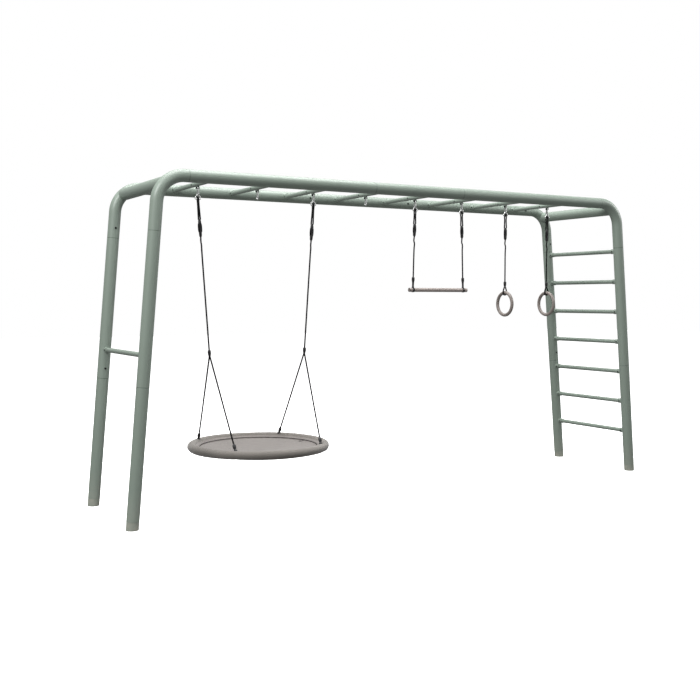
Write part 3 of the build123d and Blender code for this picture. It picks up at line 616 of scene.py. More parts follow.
def make_piece(name, bm, material, body, replaces=(), sharp=radians(38)):
    """An object from a bmesh, on its body, with its finish and the CAD nodes it stands for."""
    bmesh.ops.recalc_face_normals(bm, faces=bm.faces)
    for face in bm.faces:
        face.smooth = True
    for edge in bm.edges:
        edge.smooth = len(edge.link_faces) == 2 and edge.calc_face_angle(0) < sharp
    mesh = bpy.data.meshes.new(name)
    bm.to_mesh(mesh)
    bm.free()
    mesh.materials.append(material)
    piece = bpy.data.objects.new(name, mesh)
    scene.collection.objects.link(piece)
    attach(piece, body)
    if replaces:
        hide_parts(*replaces)
    made.append(name)
    return piece


def make_rope(name, points, body, node):
    """A rope along a route of chosen points."""
    line, length = evenly(smooth_line(points), BRAID_STEP)
    bm = bmesh.new()
    roll_rope(bm, line, length, ROPE_R)
    piece = make_piece(name, bm, rope_fibre, body, [node], sharp=radians(80))
    return piece, length


# %% [markdown]
# The doubled rope lies in the plane across the bars: up one side of the thimble and down the
# other. Two points level with the thimble's middle and two above it carry the spline round.

# %% Doubled ropes over the thimbles
STRAND_CLOSE = 0.0062  # from the middle to each strand, once they have drawn together
STRAND_TURN = 0.0028  # how far each strand has turned along X where it reaches the adjuster
for hanger in hangers:
    node = "nest_ropes" if hanger in nest_hangers else f"{hanger.body.split('_hanger')[0]}_rope"
    node = "trapeze_ropes" if hanger in trapeze_hangers else node
    hanger.rope_node = node
    inside = hanger.adjuster_drop + 0.004
    route = [
        hanger.at(inside, -STRAND_HALF, STRAND_TURN),
        hanger.at(LOOP_R * 3.4, -STRAND_CLOSE, STRAND_TURN * 0.4),
        hanger.at(LOOP_R, -LOOP_R),
        hanger.at(-LOOP_R, -LOOP_R),
        hanger.at(-LOOP_R, LOOP_R),
        hanger.at(LOOP_R, LOOP_R),
        hanger.at(LOOP_R * 3.4, STRAND_CLOSE, -STRAND_TURN * 0.4),
        hanger.at(inside, STRAND_HALF, -STRAND_TURN),
    ]
    _, length = make_rope(f"{hanger.name}_doubled_rope", route, hanger.body, node)
    print(hanger.name, "doubled rope", round(length, 3), "m")

# %% [markdown]
# Below the adjuster the rope comes out of the last hole a little to one side and swings back under
# the load, which gives it a small kink. The long nest ropes are pulled straight by their weight.

# %% Main ropes from the adjusters to the beads
KINK = 0.0045
for hanger in hangers:
    start = hanger.adjuster_drop + hanger.adjuster_l
    end = hanger.bead_drop
    lean = KINK * (0.35 if hanger in nest_hangers else 1.0)
    route = [
        hanger.at(start - 0.004),
        hanger.at(start + 0.012, 0, -lean * 0.3),
        hanger.at(start + 0.03, 0, -lean),
        hanger.at(start + 0.052, 0, lean * 0.9),
        hanger.at(start + 0.08, 0, lean * 0.2),
        hanger.at(start + 0.11),
        hanger.at(end - 0.06),
        hanger.at(end + 0.003),
    ]
    _, length = make_rope(f"{hanger.name}_main_rope", route, hanger.body, hanger.rope_node)
    print(hanger.name, "rope", round(length, 3), "m")

# %% Nest legs, from each bead to two ties on the rim
CONE_L = 0.046
LEG_HALF = 0.0056
nest_legs = []
for hanger, side in zip(nest_hangers, (-1, 1)):
    for word, row in (("front", -1), ("rear", 1)):
        top = hanger.at(hanger.bead_drop + BEAD_L + 0.0018, row * LEG_HALF)
        knot = Vector((NEST.x + side * TIE_X, NEST.y + row * TIE_Y, NEST.z))
        up = (top - knot).normalized()
        nest_legs.append((f"{hanger.name}_{word}", knot, up))
        foot = knot + up * (SLEEVE_R + CONE_L - 0.004)
        route = [top, top.lerp(foot, 0.12), top.lerp(foot, 0.5), top.lerp(foot, 0.88), foot]
        _, length = make_rope(f"{hanger.name}_{word}_leg", route, "nest", "nest_ropes")
    print(hanger.name, "legs", round(length, 3), "m each")

# %% Ropes round the gym rings
RING_LOOP_R = RING_BAR_R + 0.0004 + ROPE_R
for hanger in ring_hangers:
    middle = LINK_FOOT_Z - (RING_TOP_Z - RING_BAR_R)
    top = hanger.bead_drop + BEAD_L + 0.0014
    route = [
        hanger.at(top, 0, -0.0052),
        hanger.at(middle - 0.024, 0, -0.0125),
        hanger.at(middle - 0.006, 0, -RING_LOOP_R),
        hanger.at(middle + RING_LOOP_R, 0, -RING_LOOP_R),
        hanger.at(middle + RING_LOOP_R, 0, RING_LOOP_R),
        hanger.at(middle - 0.006, 0, RING_LOOP_R),
        hanger.at(middle - 0.024, 0, 0.0125),
        hanger.at(top, 0, 0.0052),
    ]
    _, length = make_rope(f"{hanger.name}_wrap_rope", route, hanger.body, hanger.rope_node)
    print(hanger.name, "wrap rope", round(length, 3), "m")


# %% [markdown]
# ## Turned and moulded fittings
#
# Thimbles, beads and ferrules are round, so each is a short outline spun once round its axis. The
# outline holds (radius, height) pairs, and a bevel softens the corners that a mould would round.


# %% Spinning an outline
def join_part(bm, part, origin, direction):
    """Stand a part drawn round the Z axis at origin, facing direction, and add it to bm."""
    lay_down = Vector(direction).to_track_quat("Z", "Y").to_matrix().to_4x4()
    part.transform(Matrix.Translation(origin) @ lay_down)
    bmesh.ops.recalc_face_normals(part, faces=part.faces)
    carrier = bpy.data.meshes.new("carrier")
    part.to_mesh(carrier)
    part.free()
    bm.from_mesh(carrier)
    bpy.data.meshes.remove(carrier)


def turned(bm, origin, direction, outline, steps=40):
    """Spin an outline of (radius, height) points round a line through origin."""
    part = bmesh.new()
    points = [part.verts.new((radius, 0, height)) for radius, height in outline]
    edges = [part.edges.new(pair) for pair in zip(points, points[1:])]
    bmesh.ops.spin(
        part, geom=points + edges, cent=(0, 0, 0), axis=(0, 0, 1), angle=tau, steps=steps, use_merge=True
    )
    bmesh.ops.remove_doubles(part, verts=part.verts, dist=1e-6)
    join_part(bm, part, origin, direction)


def rounded(outline, radius, pieces=4):
    """An outline with its inner corners rounded by short arcs."""
    softened = [outline[0]]
    for before, corner, after in zip(outline, outline[1:], outline[2:]):
        a, b, c = Vector(before), Vector(corner), Vector(after)
        cut = min(radius, (a - b).length * 0.45, (c - b).length * 0.45)
        start, end = b + (a - b).normalized() * cut, b + (c - b).normalized() * cut
        for i in range(pieces + 1):
            t = i / pieces
            softened.append(tuple(start.lerp(b, t).lerp(b.lerp(end, t), t)))
    return softened + [outline[-1]]


# %% Thimbles in the links
for hanger in hangers:
    fittings = "nest_rope_fittings" if hanger in nest_hangers else f"{hanger.name}_rope_fittings"
    hanger.fittings = "trapeze_fittings" if hanger in trapeze_hangers else fittings
    bm = bmesh.new()
    half, bore = 0.006, LINK_BAR_R + 0.0002
    outline = [
        (bore, -half - 0.001),
        (THIMBLE_R + 0.0022, -half - 0.001),
        (THIMBLE_R + 0.0022, -half),
        (THIMBLE_R, -half + 0.0014),
        (THIMBLE_R, half - 0.0014),
        (THIMBLE_R + 0.0022, half),
        (THIMBLE_R + 0.0022, half + 0.001),
        (bore, half + 0.001),
        (bore, -half - 0.001),
    ]
    turned(bm, hanger.top, (1, 0, 0), outline)
    make_piece(f"{hanger.name}_thimble", bm, black_plastic, hanger.body, [hanger.fittings])
print("thimbles:", len(hangers))

# %% Beads with a square shoulder and a long taper
for hanger in hangers:
    bm = bmesh.new()
    outline = rounded(
        [
            (0.0052, 0.0),
            (0.0078, 0.0),
            (0.0108, 0.0052),
            (0.0112, 0.019),
            (0.0098, 0.030),
            (0.0080, 0.036),
            (0.0080, BEAD_L),
            (0.0052, BEAD_L),
        ],
        0.0016,
    )
    turned(bm, hanger.at(hanger.bead_drop), hanger.down, [(0.0, 0.001), *outline, (0.0, BEAD_L - 0.001)])
    make_piece(f"{hanger.name}_bead", bm, black_plastic, hanger.body, [hanger.fittings])
print("beads:", len(hangers))

# %% Ferrules where the nest's legs meet its rim
for name, knot, up in nest_legs:
    bm = bmesh.new()
    base = SLEEVE_R - 0.0035
    outline = rounded(
        [
            (0.0, base),
            (0.0128, base),
            (0.0122, base + 0.0065),
            (0.0082, base + 0.0095),
            (0.0080, base + 0.0150),
            (0.0112, base + 0.0270),
            (0.0112, base + 0.0400),
            (0.0070, SLEEVE_R + CONE_L),
            (0.0052, SLEEVE_R + CONE_L),
            (0.0052, SLEEVE_R + CONE_L - 0.004),
        ],
        0.0022,
    )
    turned(bm, knot, up, [*outline, (0.0, SLEEVE_R + CONE_L - 0.005)])
    make_piece(f"{name}_ferrule", bm, black_plastic, "nest", ["nest_rope_fittings"])
print("ferrules:", len(nest_legs))

# %% [markdown]
# The adjuster is a flat moulding with two lobes, wider at the top, through which the rope weaves.
# Its outline is one formula, a waist that swells into the two lobes. The outline is filled and
# extruded, its rims are bevelled, and the rope that shows on each face lies in two dished eyes.


# %% Adjusters
def adjuster_reach(share, lobe):
    """How far the adjuster reaches from the rope's middle at a share of its length from the top."""
    upper = exp(-(((share - 0.27) / 0.19) ** 2))
    lower = exp(-(((share - 0.78) / 0.15) ** 2))
    ends = sqrt(max(0.0, 1 - (2 * share - 1) ** 8))
    return (0.0125 + lobe * (0.0045 * upper + 0.0022 * lower - 0.0028)) * ends


def add_adjuster(bm, length, thickness):
    """A two-lobed plate, from z 0 down to -length, with its faces towards X."""
    shares = [0.5 - 0.5 * cos(pi * i / 28) for i in range(29)]
    rear = [(adjuster_reach(s, 0.2), -s * length) for s in shares]
    front = [(-adjuster_reach(s, 1.0), -s * length) for s in shares]
    outline = rear + front[-2:0:-1]
    ring = [bm.verts.new((-thickness / 2, w, z)) for w, z in outline]
    face = bm.faces.new(ring)
    grown = bmesh.ops.extrude_face_region(bm, geom=[face])
    lifted = [v for v in grown["geom"] if isinstance(v, bmesh.types.BMVert)]
    bmesh.ops.translate(bm, verts=lifted, vec=(thickness, 0, 0))
    rims = [e for e in bm.edges if abs(e.verts[0].co.x - e.verts[1].co.x) < 1e-9]
    bmesh.ops.bevel(
        bm, geom=rims, offset=thickness * 0.24, segments=4, profile=0.5, affect="EDGES", material=-1
    )
    broad = [f for f in bm.faces if len(f.verts) > 8]
    for step_in, step_down in ((0.0028, 0.0), (0.0010, -0.0012)):
        bmesh.ops.inset_region(bm, faces=broad, thickness=step_in, depth=step_down)


ADJUSTER_T = 0.0136
# The rope's bulge on each face, as (share of the adjuster's length, reach from its middle)
WEAVE_ROUTE = [(0.22, 0.0), (0.24, 0.0070), (0.34, 0.0098), (0.62, 0.0098), (0.74, 0.0070), (0.76, 0.0)]
for hanger in hangers:
    bm = bmesh.new()
    add_adjuster(bm, hanger.adjuster_l, ADJUSTER_T)
    across = Vector((0, 1, 0)).cross(-hanger.down)
    turn = Matrix((across, (0, 1, 0), -hanger.down)).transposed().to_4x4()
    place = Matrix.Translation(hanger.at(hanger.adjuster_drop)) @ turn
    bmesh.ops.transform(bm, matrix=place, verts=bm.verts)
    make_piece(f"{hanger.name}_adjuster", bm, black_plastic, hanger.body, [hanger.fittings])
    for word, side in (("front", -1), ("back", 1)):
        weave_line = [
            hanger.at(hanger.adjuster_drop + hanger.adjuster_l * share, 0, side * out)
            for share, out in WEAVE_ROUTE
        ]
        line, length = evenly(smooth_line(weave_line), BRAID_STEP)
        bm = bmesh.new()
        roll_rope(bm, line, length, ROPE_R)
        make_piece(
            f"{hanger.name}_{word}_weave", bm, rope_fibre, hanger.body, sharp=radians(80)
        )
print("adjusters:", len(hangers))

# %% [markdown]
# ## Trapeze bar fittings
#
# The bar itself is a CAD tube with a taupe finish. Each rope's sleeve and collar are one black
# moulding, and a cap with a dark seal ring closes each end of the bar.

# %% Collars, seal rings and end caps
COLLAR_L = 0.016
for hanger, side in zip(trapeze_hangers, (-1, 1)):
    middle = Vector((BAR.x + side * TRAPEZE_SPREAD / 2, BAR.y, BAR.z))
    bore = BAR_R + 0.0001
    bm = bmesh.new()
    outline = rounded(
        [
            (bore, -COLLAR_L / 2),
            (bore + 0.0024, -COLLAR_L / 2),
            (bore + 0.0024, COLLAR_L / 2),
            (bore, COLLAR_L / 2),
        ],
        0.0009,
    )
    turned(bm, middle, (1, 0, 0), [*outline, outline[0]])
    neck_top = hanger.bead_drop + BEAD_L - 0.001
    neck_foot = (BAR.z + bore + 0.001 - LINK_FOOT_Z) / hanger.down.z
    neck = neck_foot - neck_top
    turned(
        bm,
        hanger.at(neck_top),
        hanger.down,
        [(0.0, 0.0), (0.0074, 0.0), (0.0072, neck * 0.6), (0.0082, neck * 0.86), (0.0098, neck), (0.0, neck)],
    )
    make_piece(f"{hanger.name}_collar", bm, black_plastic, "trapeze", ["trapeze_fittings"])

    tip = Vector((bar_high.x if side > 0 else bar_low.x, BAR.y, BAR.z))
    bm = bmesh.new()
    turned(bm, tip, (side, 0, 0), [(0.0, 0.0014), (0.0128, 0.0014), (0.0118, 0.0026), (0.0, 0.0029)])
    make_piece(f"{hanger.name}_cap", bm, taupe_plastic, "trapeze", ["trapeze_fittings"])
    bm = bmesh.new()
    seal = [(BAR_R - 0.0024, 0.0001), (BAR_R, 0.0001), (BAR_R, 0.0016), (BAR_R - 0.001, 0.0027)]
    seal += [(BAR_R - 0.0024, 0.0027), (BAR_R - 0.0024, 0.0013), (0.0, 0.0013)]
    turned(bm, tip, (side, 0, 0), [(0.0, 0.0001), *seal])
    make_piece(f"{hanger.name}_seal", bm, black_plastic, "trapeze", ["trapeze_fittings"])
print("trapeze fittings ready")

# %% [markdown]
# ## The nest
#
# The nest is a steel hoop in a foam sleeve with a fabric cover, and a round of fabric laced inside
# it. Foam under a cover is never quite even, so the hoop's cover is a circle spun round the nest
# and then pulled in by formula: a seam on the inner side, with small puckers that fade away from it.

# %% The rim's cover
RIM_STEPS = 420
RIM_AROUND = 40
SEAM_TURN = pi  # round the section, measured from the outside over the top


def rim_radius(turn, section):
    """The cover's radius at an angle round the nest and an angle round the section."""
    off_seam = abs((section - SEAM_TURN + pi) % tau - pi)
    groove = 0.0034 * exp(-((off_seam / 0.10) ** 2))
    pucker = 0.0011 * exp(-off_seam / 0.55) * sin(turn * 92 + 1.7 * sin(turn * 7))
    slack = 0.0007 * sin(turn * 5 + 1.0) * cos(section * 2)
    tight = sum(exp(-(((turn - tie + pi) % tau - pi) / 0.032) ** 2) for tie in tie_turns)
    return SLEEVE_R - 0.0009 - groove + pucker + slack - 0.0016 * tight


tie_turns = [atan2(knot.y - NEST.y, knot.x - NEST.x) for _, knot, _ in nest_legs]
bm = bmesh.new()
uv = bm.loops.layers.uv.new("UVMap")
section = bmesh.ops.create_circle(bm, segments=RIM_AROUND, radius=SLEEVE_R)["verts"]
stand_up = Matrix.Translation((RIM_R, 0, 0)) @ Matrix.Rotation(pi / 2, 4, "X")
bmesh.ops.transform(bm, matrix=stand_up, verts=section)
bmesh.ops.spin(
    bm,
    geom=section + list(bm.edges),
    cent=(0, 0, 0),
    axis=(0, 0, 1),
    angle=tau,
    steps=RIM_STEPS,
    use_merge=True,
)
for vertex in bm.verts:
    turn = atan2(vertex.co.y, vertex.co.x)
    angle = atan2(vertex.co.z, hypot(vertex.co.x, vertex.co.y) - RIM_R)
    reach = rim_radius(turn, angle % tau)
    ahead = Vector((cos(turn), sin(turn), 0))
    vertex.co = ahead * (RIM_R + reach * cos(angle)) + Vector((0, 0, reach * sin(angle)))
for face in bm.faces:
    middle = face.calc_center_median()
    turn0 = atan2(middle.y, middle.x)
    angle0 = atan2(middle.z, hypot(middle.x, middle.y) - RIM_R)
    for loop in face.loops:
        co = loop.vert.co
        turn = (atan2(co.y, co.x) - turn0 + pi) % tau - pi + turn0
        angle = (atan2(co.z, hypot(co.x, co.y) - RIM_R) - angle0 + pi) % tau - pi + angle0
        loop[uv].uv = (turn * RIM_R, angle * SLEEVE_R)
bmesh.ops.translate(bm, verts=bm.verts, vec=NEST)
rim_cover = make_piece("nest_rim_cover", bm, rim_cloth, "nest", ["nest_rim_sleeve"])
print("rim cover faces:", len(rim_cover.data.polygons))

# %% [markdown]
# The seat is one round of fabric. Its border rises to the rim's sleeve, a welt is sewn where the
# border meets the middle, and the middle sags. It is a radial line spun round the nest's axis and
# then lowered by formula, with slight folds that run out to the ties.

# %% The seat
SEAT_R = RIM_R - SLEEVE_R + 0.0045
WELT_R = 0.402
SEAT_SAG = 0.023
SEAT_T = 0.0030
BORDER_LIFT = 0.0125
STEP_DROP = 0.0065


def seat_level(radius, turn):
    """The seat's height above the rim's middle at a radius and an angle."""
    share = radius / SEAT_R
    folds = 0.0010 * share**8 * sin(turn * 46 + 2.0 * sin(turn * 5))
    if radius > WELT_R:
        border = (radius - WELT_R) / (SEAT_R - WELT_R)
        return BORDER_LIFT * border**1.6 + folds
    inner = radius / WELT_R
    step = STEP_DROP * (1 - exp(-(WELT_R - radius) / 0.004))
    pull = 0.0016 * inner**4 * cos(4 * turn) * (1 - inner)
    quilt = 0.0007 * sin(turn * 9 + 3) * sin(radius * 60) * (1 - inner**6)
    return -step - SEAT_SAG * (1 - inner**2) + folds + pull + quilt


bm = bmesh.new()
radii = [WELT_R * (i / 24) ** 0.8 for i in range(25)]
radii += [WELT_R - 0.006, WELT_R - 0.003, WELT_R - 0.0012]
radii += [WELT_R + (SEAT_R - WELT_R) * i / 6 for i in range(1, 7)]
spoke = [bm.verts.new((radius, 0, 0)) for radius in sorted(radii)]
spine = [bm.edges.new(pair) for pair in zip(spoke, spoke[1:])]
bmesh.ops.spin(bm, geom=spoke + spine, cent=(0, 0, 0), axis=(0, 0, 1), angle=tau, steps=180, use_merge=True)
bmesh.ops.remove_doubles(bm, verts=bm.verts, dist=1e-6)
for vertex in bm.verts:
    vertex.co.z = seat_level(hypot(vertex.co.x, vertex.co.y), atan2(vertex.co.y, vertex.co.x))
underside = bmesh.ops.extrude_face_region(bm, geom=list(bm.faces))["geom"]
underside = [v for v in underside if isinstance(v, bmesh.types.BMVert)]
bmesh.ops.translate(bm, verts=underside, vec=(0, 0, -SEAT_T))
bmesh.ops.translate(bm, verts=bm.verts, vec=NEST)
seat = make_piece("nest_seat_cloth", bm, seat_cloth, "nest", ["nest_seat"])
print("seat faces:", len(seat.data.polygons))

# %% The sewn welt and its stitches
STITCHES = 336
STITCH_R = WELT_R + 0.007
WELT_THREAD_R = 0.0032
bm = bmesh.new()
section = bmesh.ops.create_circle(bm, segments=10, radius=WELT_THREAD_R)["verts"]
stand_up = Matrix.Translation((WELT_R - 0.0012, 0, -0.0018)) @ Matrix.Rotation(pi / 2, 4, "X")
bmesh.ops.transform(bm, matrix=stand_up, verts=section)
bmesh.ops.spin(
    bm, geom=section + list(bm.edges), cent=(0, 0, 0), axis=(0, 0, 1), angle=tau, steps=240, use_merge=True
)
bmesh.ops.translate(bm, verts=bm.verts, vec=NEST)
make_piece("nest_seat_welt", bm, thread, "nest")
bm = bmesh.new()
for i in range(STITCHES):
    turn = tau * i / STITCHES
    place = Vector((cos(turn) * STITCH_R, sin(turn) * STITCH_R, seat_level(STITCH_R, turn) + 0.0004))
    aim = Matrix.Rotation(turn, 4, "Z") @ Matrix.Diagonal((0.0007, 0.0022, 0.0006, 1))
    stitch = bmesh.ops.create_icosphere(bm, subdivisions=1, radius=1.0)["verts"]
    bmesh.ops.transform(bm, matrix=Matrix.Translation(NEST + place) @ aim, verts=stitch)
make_piece("nest_seat_stitches", bm, thread, "nest")
print("stitches:", STITCHES)

# %% The eyelet in the seat
EYELET_TURN, EYELET_PLACE_R = radians(13), 0.382
EYELET_FACING = (-0.08, 0, 1)  # tipped a little towards the middle, as the seat is there
bm = bmesh.new()
place = Vector((cos(EYELET_TURN), sin(EYELET_TURN), 0)) * EYELET_PLACE_R
place.z = seat_level(EYELET_PLACE_R, EYELET_TURN) + 0.0004
outline = [(0.0105, 0.0), (0.0172, 0.0), (0.0168, 0.0016), (0.0138, 0.0026), (0.0112, 0.0014), (0.0105, 0.0)]
turned(bm, NEST + place, EYELET_FACING, outline, 36)
make_piece("nest_seat_eyelet", bm, black_plastic, "nest")
bm = bmesh.new()
mesh_disc = [(0.0, 0.0004), (0.0109, 0.0004), (0.0109, 0.0009), (0.0, 0.0011)]
turned(bm, NEST + place, EYELET_FACING, mesh_disc, 36)
make_piece("nest_seat_eyelet_mesh", bm, taupe_paint, "nest")
print("eyelet ready")

# %% [markdown]
# ## Bolt heads
#
# Bolts with a hexagon socket are drawn from the socket outwards: a small hexagon is the socket's
# floor, its rim is extruded up to the head's face, divided, bridged to a round rim, and that rim is
# extruded down the domed side.


# %% A domed head with a hexagon socket
def socket_head(bm, origin, direction, radius, height, socket):
    """A domed head that stands height above origin, with a hexagon socket of the given radius."""
    part = bmesh.new()
    levels = [(socket, 0.35), (socket, 0.95), (radius * 0.62, 1.0), (radius * 0.84, 0.88)]
    levels += [(radius * 0.96, 0.66), (radius, 0.4), (radius, 0.0)]
    steps = 24
    rings = []
    for index, (ring_radius, level) in enumerate(levels):
        ring = []
        for step in range(steps):
            angle = tau * step / steps
            flat = cos(pi / 6) / cos((angle + pi / 6) % (pi / 3) - pi / 6) if index < 2 else 1.0
            reach = ring_radius * flat
            ring.append(part.verts.new((reach * cos(angle), reach * sin(angle), height * level)))
        rings.append(ring)
    for inner, outer in zip(rings, rings[1:]):
        for step in range(steps):
            after = (step + 1) % steps
            part.faces.new((inner[step], outer[step], outer[after], inner[after]))
    part.faces.new(rings[0])
    part.faces.new(rings[-1])
    join_part(bm, part, origin, direction)


def nut(bm, origin, direction, radius, height):
    """A hexagon nut with a domed cap, which hides the bolt's end."""
    part = bmesh.new()
    bmesh.ops.create_circle(part, cap_ends=True, segments=6, radius=radius)
    grown = bmesh.ops.extrude_face_region(part, geom=list(part.faces))["geom"]
    lifted = [v for v in grown if isinstance(v, bmesh.types.BMVert)]
    bmesh.ops.translate(part, verts=lifted, vec=(0, 0, height * 0.6))
    lid = [f for f in grown if isinstance(f, bmesh.types.BMFace)]
    bmesh.ops.inset_region(part, faces=lid, thickness=radius * 0.14, depth=radius * 0.05)
    dome = [(0.0, 0.0), (radius * 0.72, 0.0), (radius * 0.66, height * 0.22)]
    dome += [(radius * 0.4, height * 0.38), (0.0, height * 0.4)]
    turned(part, (0, 0, height * 0.6), (0, 0, 1), dome, 24)
    join_part(bm, part, origin, direction)


# %% [markdown]
# Each joint bolt has a domed head on the inner side of its tube, each rung is held by two small
# screws that face the left end, and each hook turns on a bolt with a head on one side and a cap nut
# on the other. The CAD nodes give where they are: a node's solids are found again by splitting its
# mesh into separate islands, and each island's box says where its head sits.


# %% Where a node's separate solids are
def islands(node):
    """The box of each separate solid in a CAD node, as (lowest, highest) corners."""
    bm = bmesh.new()
    bm.from_mesh(frame["nodes"][node].data)
    bmesh.ops.remove_doubles(bm, verts=bm.verts, dist=1e-5)
    waiting = set(bm.verts)
    boxes = []
    while waiting:
        stack, found = [waiting.pop()], []
        while stack:
            vertex = stack.pop()
            found.append(vertex.co.copy())
            for edge in vertex.link_edges:
                other = edge.other_vert(vertex)
                if other in waiting:
                    waiting.remove(other)
                    stack.append(other)
        low = Vector([min(co[axis] for co in found) for axis in range(3)])
        high = Vector([max(co[axis] for co in found) for axis in range(3)])
        boxes.append((low, high))
    bm.free()
    return boxes


rung_ends = [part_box(f"monkey_rung_{n}")[1].x + 0.0017 for n in range(1, 9)]


def row_axis(y):
    """The axis of the row of tubes, front or rear, that a place belongs to."""
    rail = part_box("rear_centre_rail" if y > 0 else "front_centre_rail")
    return (rail[0].y + rail[1].y) / 2


# %% Joint bolts
JOINT_HEAD_R, JOINT_HEAD_H = 0.007, 0.0045
bm = bmesh.new()
count = 0
for low, high in islands("joint_bolts"):
    middle = (low + high) / 2
    if high.y - low.y < 2 * JOINT_HEAD_R:
        continue
    facing = 1 if middle.y > row_axis(middle.y) else -1
    face_y = (low.y if facing < 0 else high.y) - facing * JOINT_HEAD_H
    base = Vector((middle.x, face_y, middle.z))
    socket_head(bm, base, (0, facing, 0), JOINT_HEAD_R, JOINT_HEAD_H, 0.0029)
    count += 1
make_piece("joint_bolt_heads", bm, black_steel, "root", ["joint_bolts"])
print("joint bolts:", count)

# %% Rung screws and the plugs in the spare holes
SCREW_R, SCREW_H = 0.0055, 0.0032
PLUG_R, PLUG_H = 0.006, 0.0016
bm = bmesh.new()
plugs = bmesh.new()
count = 0
for low, high in islands("rung_fasteners"):
    middle = (low + high) / 2
    if high.y - low.y < 2.1 * SCREW_R:
        head = Vector((low.x + SCREW_H, middle.y, middle.z))
        socket_head(bm, head, (-1, 0, 0), SCREW_R, SCREW_H, 0.0023)
    else:
        side = 1 if min(abs(high.x - x) for x in rung_ends) < 1e-3 else -1
        base = Vector((high.x - PLUG_H if side > 0 else low.x + PLUG_H, middle.y, middle.z))
        dome = [(0.0, 0.0), (PLUG_R, 0.0), (PLUG_R * 0.85, PLUG_H * 0.7), (0.0, PLUG_H)]
        turned(plugs, base, (side, 0, 0), dome, 24)
    count += 1
make_piece("rung_screw_heads", bm, black_steel, "root", ["rung_fasteners"])
make_piece("rung_hole_plugs", plugs, black_plastic, "root", ["rung_fasteners"])
print("rung fasteners:", count)

# %% Hook bolts with a domed head and a cap nut
PIVOT_HEAD_R, PIVOT_HEAD_T, PIVOT_SHANK_R = 0.0065, 0.005, 0.0038
bm = bmesh.new()
for low, high in islands("pivot_bolts"):
    middle = (low + high) / 2
    head = Vector((low.x + PIVOT_HEAD_T, middle.y, middle.z))
    socket_head(bm, head, (-1, 0, 0), PIVOT_HEAD_R, PIVOT_HEAD_T, 0.0027)
    cap = Vector((high.x - PIVOT_HEAD_T, middle.y, middle.z))
    nut(bm, cap, (1, 0, 0), PIVOT_HEAD_R, PIVOT_HEAD_T)
    start, end = low.x - middle.x + PIVOT_HEAD_T, high.x - middle.x - PIVOT_HEAD_T
    shank = [(0.0, start), (PIVOT_SHANK_R, start), (PIVOT_SHANK_R, end), (0.0, end)]
    turned(bm, middle, (1, 0, 0), shank, 24)
make_piece("hook_bolts", bm, black_steel, "root", ["pivot_bolts"])
print("hook bolts ready")

# %% [markdown]
# A link closes with a threaded sleeve on its right side, and where the tubes meet, a dark ring sits in each
# groove as painted shade. Both are round pieces on a known axis, so they are turned like the beads.

# %% Sleeves on the links
LINK_TOP_R, LINK_HALF_ANGLE, LINK_FOOT_R = 0.011, radians(32), 0.006
LINK_SLEEVE_L, LINK_SLEEVE_R = 0.0135, 0.0052
for hanger in hangers:
    link = "nest_links" if hanger in nest_hangers else "trapeze_links"
    link = f"{hanger.name}_link" if hanger in ring_hangers else link
    crown_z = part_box(link)[1].z - LINK_BAR_R
    apex = crown_z + LINK_TOP_R * (1 / sin(LINK_HALF_ANGLE) - 1)
    foot_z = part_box(link)[0].z + LINK_BAR_R
    arm_top = LINK_TOP_R / tan(LINK_HALF_ANGLE)
    arm_foot = (apex - foot_z) / cos(LINK_HALF_ANGLE) - LINK_FOOT_R * tan(pi / 4 + LINK_HALF_ANGLE / 2)
    along = Vector((sin(LINK_HALF_ANGLE), 0, -cos(LINK_HALF_ANGLE)))
    middle = Vector((hanger.top.x, HOOK_Y, apex)) + along * (arm_top + arm_foot) / 2
    half, wide = LINK_SLEEVE_L / 2, LINK_SLEEVE_R
    sleeve = [(LINK_BAR_R, -half), (wide * 0.94, -half * 0.92), (wide, -half * 0.72)]
    sleeve += [(r, -h) for r, h in reversed(sleeve)]
    bm = bmesh.new()
    turned(bm, middle, along, sleeve, 6)
    make_piece(
        f"{hanger.name}_link_sleeve", bm, zinc_plate, hanger.body, sharp=radians(20)
    )
print("link sleeves:", len(hangers))

# %% Dark rings of painted shade in the grooves between the tubes
TUBE_R, SEAM_HALF = 0.04, 0.0015
SPAN_X, LEG_SEAM_Z, CORNER_SEAM_DROP = 3.795, 0.862, 0.343
SLOPE = tan(radians(5))
# A dark green-grey finish that paints the shade in the grooves between the tubes
seam_rubber = coated("seam_rubber", (0.06, 0.075, 0.063), 0.6, 900.0)


def seam_ring():
    """The outline of a dark ring that fills the groove between two tubes, as painted shade."""
    inner, outer = TUBE_R - 0.0017, TUBE_R - 0.0004
    shallow, deep = SEAM_HALF * 0.2, SEAM_HALF * 0.8
    return [(inner, -shallow), (outer, -deep), (outer, deep), (inner, shallow)]


bm = bmesh.new()
for row in ("front", "rear"):
    y = sum(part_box(f"{row}_centre_rail")[i].y for i in (0, 1)) / 2
    for end, side in (("left", -1), ("right", 1)):
        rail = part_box(f"{row}_rail_{end}")
        rail_z = (rail[0].z + rail[1].z) / 2
        corner_x = side * (SPAN_X / 2)
        for seam_z in (LEG_SEAM_Z, rail_z - CORNER_SEAM_DROP):
            at = Vector((corner_x + side * (rail_z - seam_z) * SLOPE, y, seam_z))
            up = Vector((-side * SLOPE, 0, 1))
            turned(bm, at, up, seam_ring(), 64)
        for x in (rail[0].x, rail[1].x):
            turned(bm, Vector((x, y, rail_z)), (1, 0, 0), seam_ring(), 64)
make_piece("joint_seal_rings", bm, seam_rubber, "root")
# Each ring is painted shade in a groove between two tubes
print("seal rings: 16")

# %% [markdown]
# ## Floor and light
#
# The floor and the room behind it are plain and pale. Both look white to the camera and grey to
# every other ray, so they don't wash the frame out with light from below. The light is a key
# from the front left, a weaker one from the right and a broad soft one overhead.

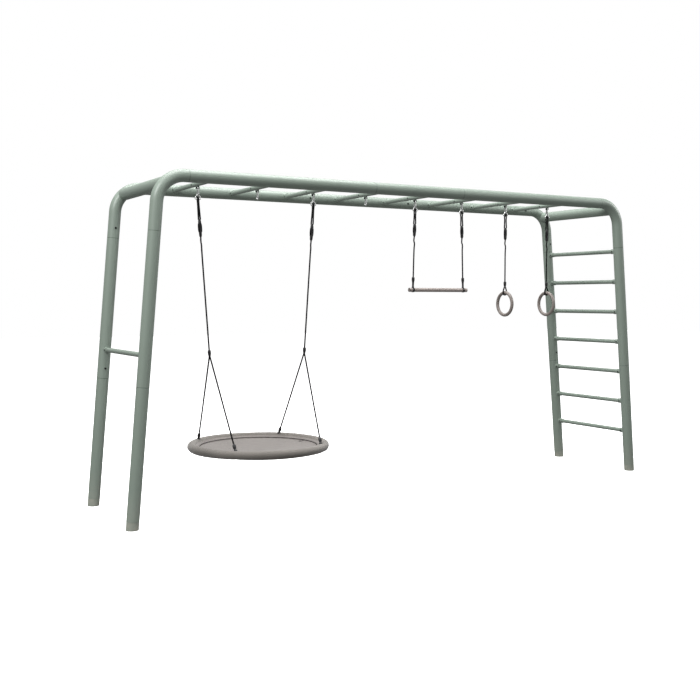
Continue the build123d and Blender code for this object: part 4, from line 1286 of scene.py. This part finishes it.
# %% Floor and light
floor_mesh = bpy.data.meshes.new("floor")
bm = bmesh.new()
bmesh.ops.create_grid(bm, x_segments=1, y_segments=1, size=30)
bm.to_mesh(floor_mesh)
bm.free()
floor = bpy.data.objects.new("floor", floor_mesh)
scene.collection.objects.link(floor)
floor_paint, floor_tree, floor_shader, _ = start_material("floor_paint")
seen = floor_tree.nodes.new("ShaderNodeLightPath").outputs["Is Camera Ray"]
floor_tone = add_mix(floor_tree, seen, (0.16, 0.16, 0.16, 1), (0.9, 0.9, 0.9, 1))
floor_tree.links.new(floor_tone, floor_shader.inputs["Base Color"])
floor_shader.inputs["Roughness"].default_value = 1.0
floor_shader.inputs["Specular IOR Level"].default_value = 0.0
far = floor_tree.nodes.new("ShaderNodeVectorMath")
far.operation = "LENGTH"
floor_tree.links.new(floor_tree.nodes["Texture Coordinate"].outputs["Object"], far.inputs[0])
haze = add_math(floor_tree, "DIVIDE", add_math(floor_tree, "SUBTRACT", far.outputs["Value"], 1.0), 4.0)
haze = add_math(floor_tree, "MINIMUM", add_math(floor_tree, "MAXIMUM", haze, 0.85), 1.0)
floor_tree.links.new(add_math(floor_tree, "MULTIPLY", haze, seen), floor_shader.inputs["Emission Strength"])
floor_shader.inputs["Emission Color"].default_value = (1, 1, 1, 1)
floor_mesh.materials.append(floor_paint)

world = bpy.data.worlds.new("studio")
world.use_nodes = True
sky = world.node_tree
background = sky.nodes["Background"]
seen = sky.nodes.new("ShaderNodeLightPath").outputs["Is Camera Ray"]
sky.links.new(add_mix(sky, seen, (0.30, 0.30, 0.30, 1), (1.0, 1.0, 1.0, 1)), background.inputs["Color"])
background.inputs["Strength"].default_value = 1.0
scene.world = world
scene.view_settings.view_transform = "Standard"


def soft_light(name, place, aim, size, power):
    """A large square light that faces a point."""
    data = bpy.data.lights.new(name, "AREA")
    data.size = size
    data.energy = power
    light = bpy.data.objects.new(name, data)
    light.location = place
    light.rotation_euler = (Vector(aim) - Vector(place)).to_track_quat("-Z", "Y").to_euler()
    scene.collection.objects.link(light)


soft_light("key_light", (-6.5, -3.0, 6.0), (0, 0, 1.2), 2.5, 430)
soft_light("right_light", (7.0, -2.0, 4.0), (0, 0, 1.0), 2.0, 150)
soft_light("top_light", (0.0, 0.0, 8.0), (0, 0, 1.4), 7.0, 1000)
print("lights ready")

# %% Count the pieces made
print("pieces made:", len(made))
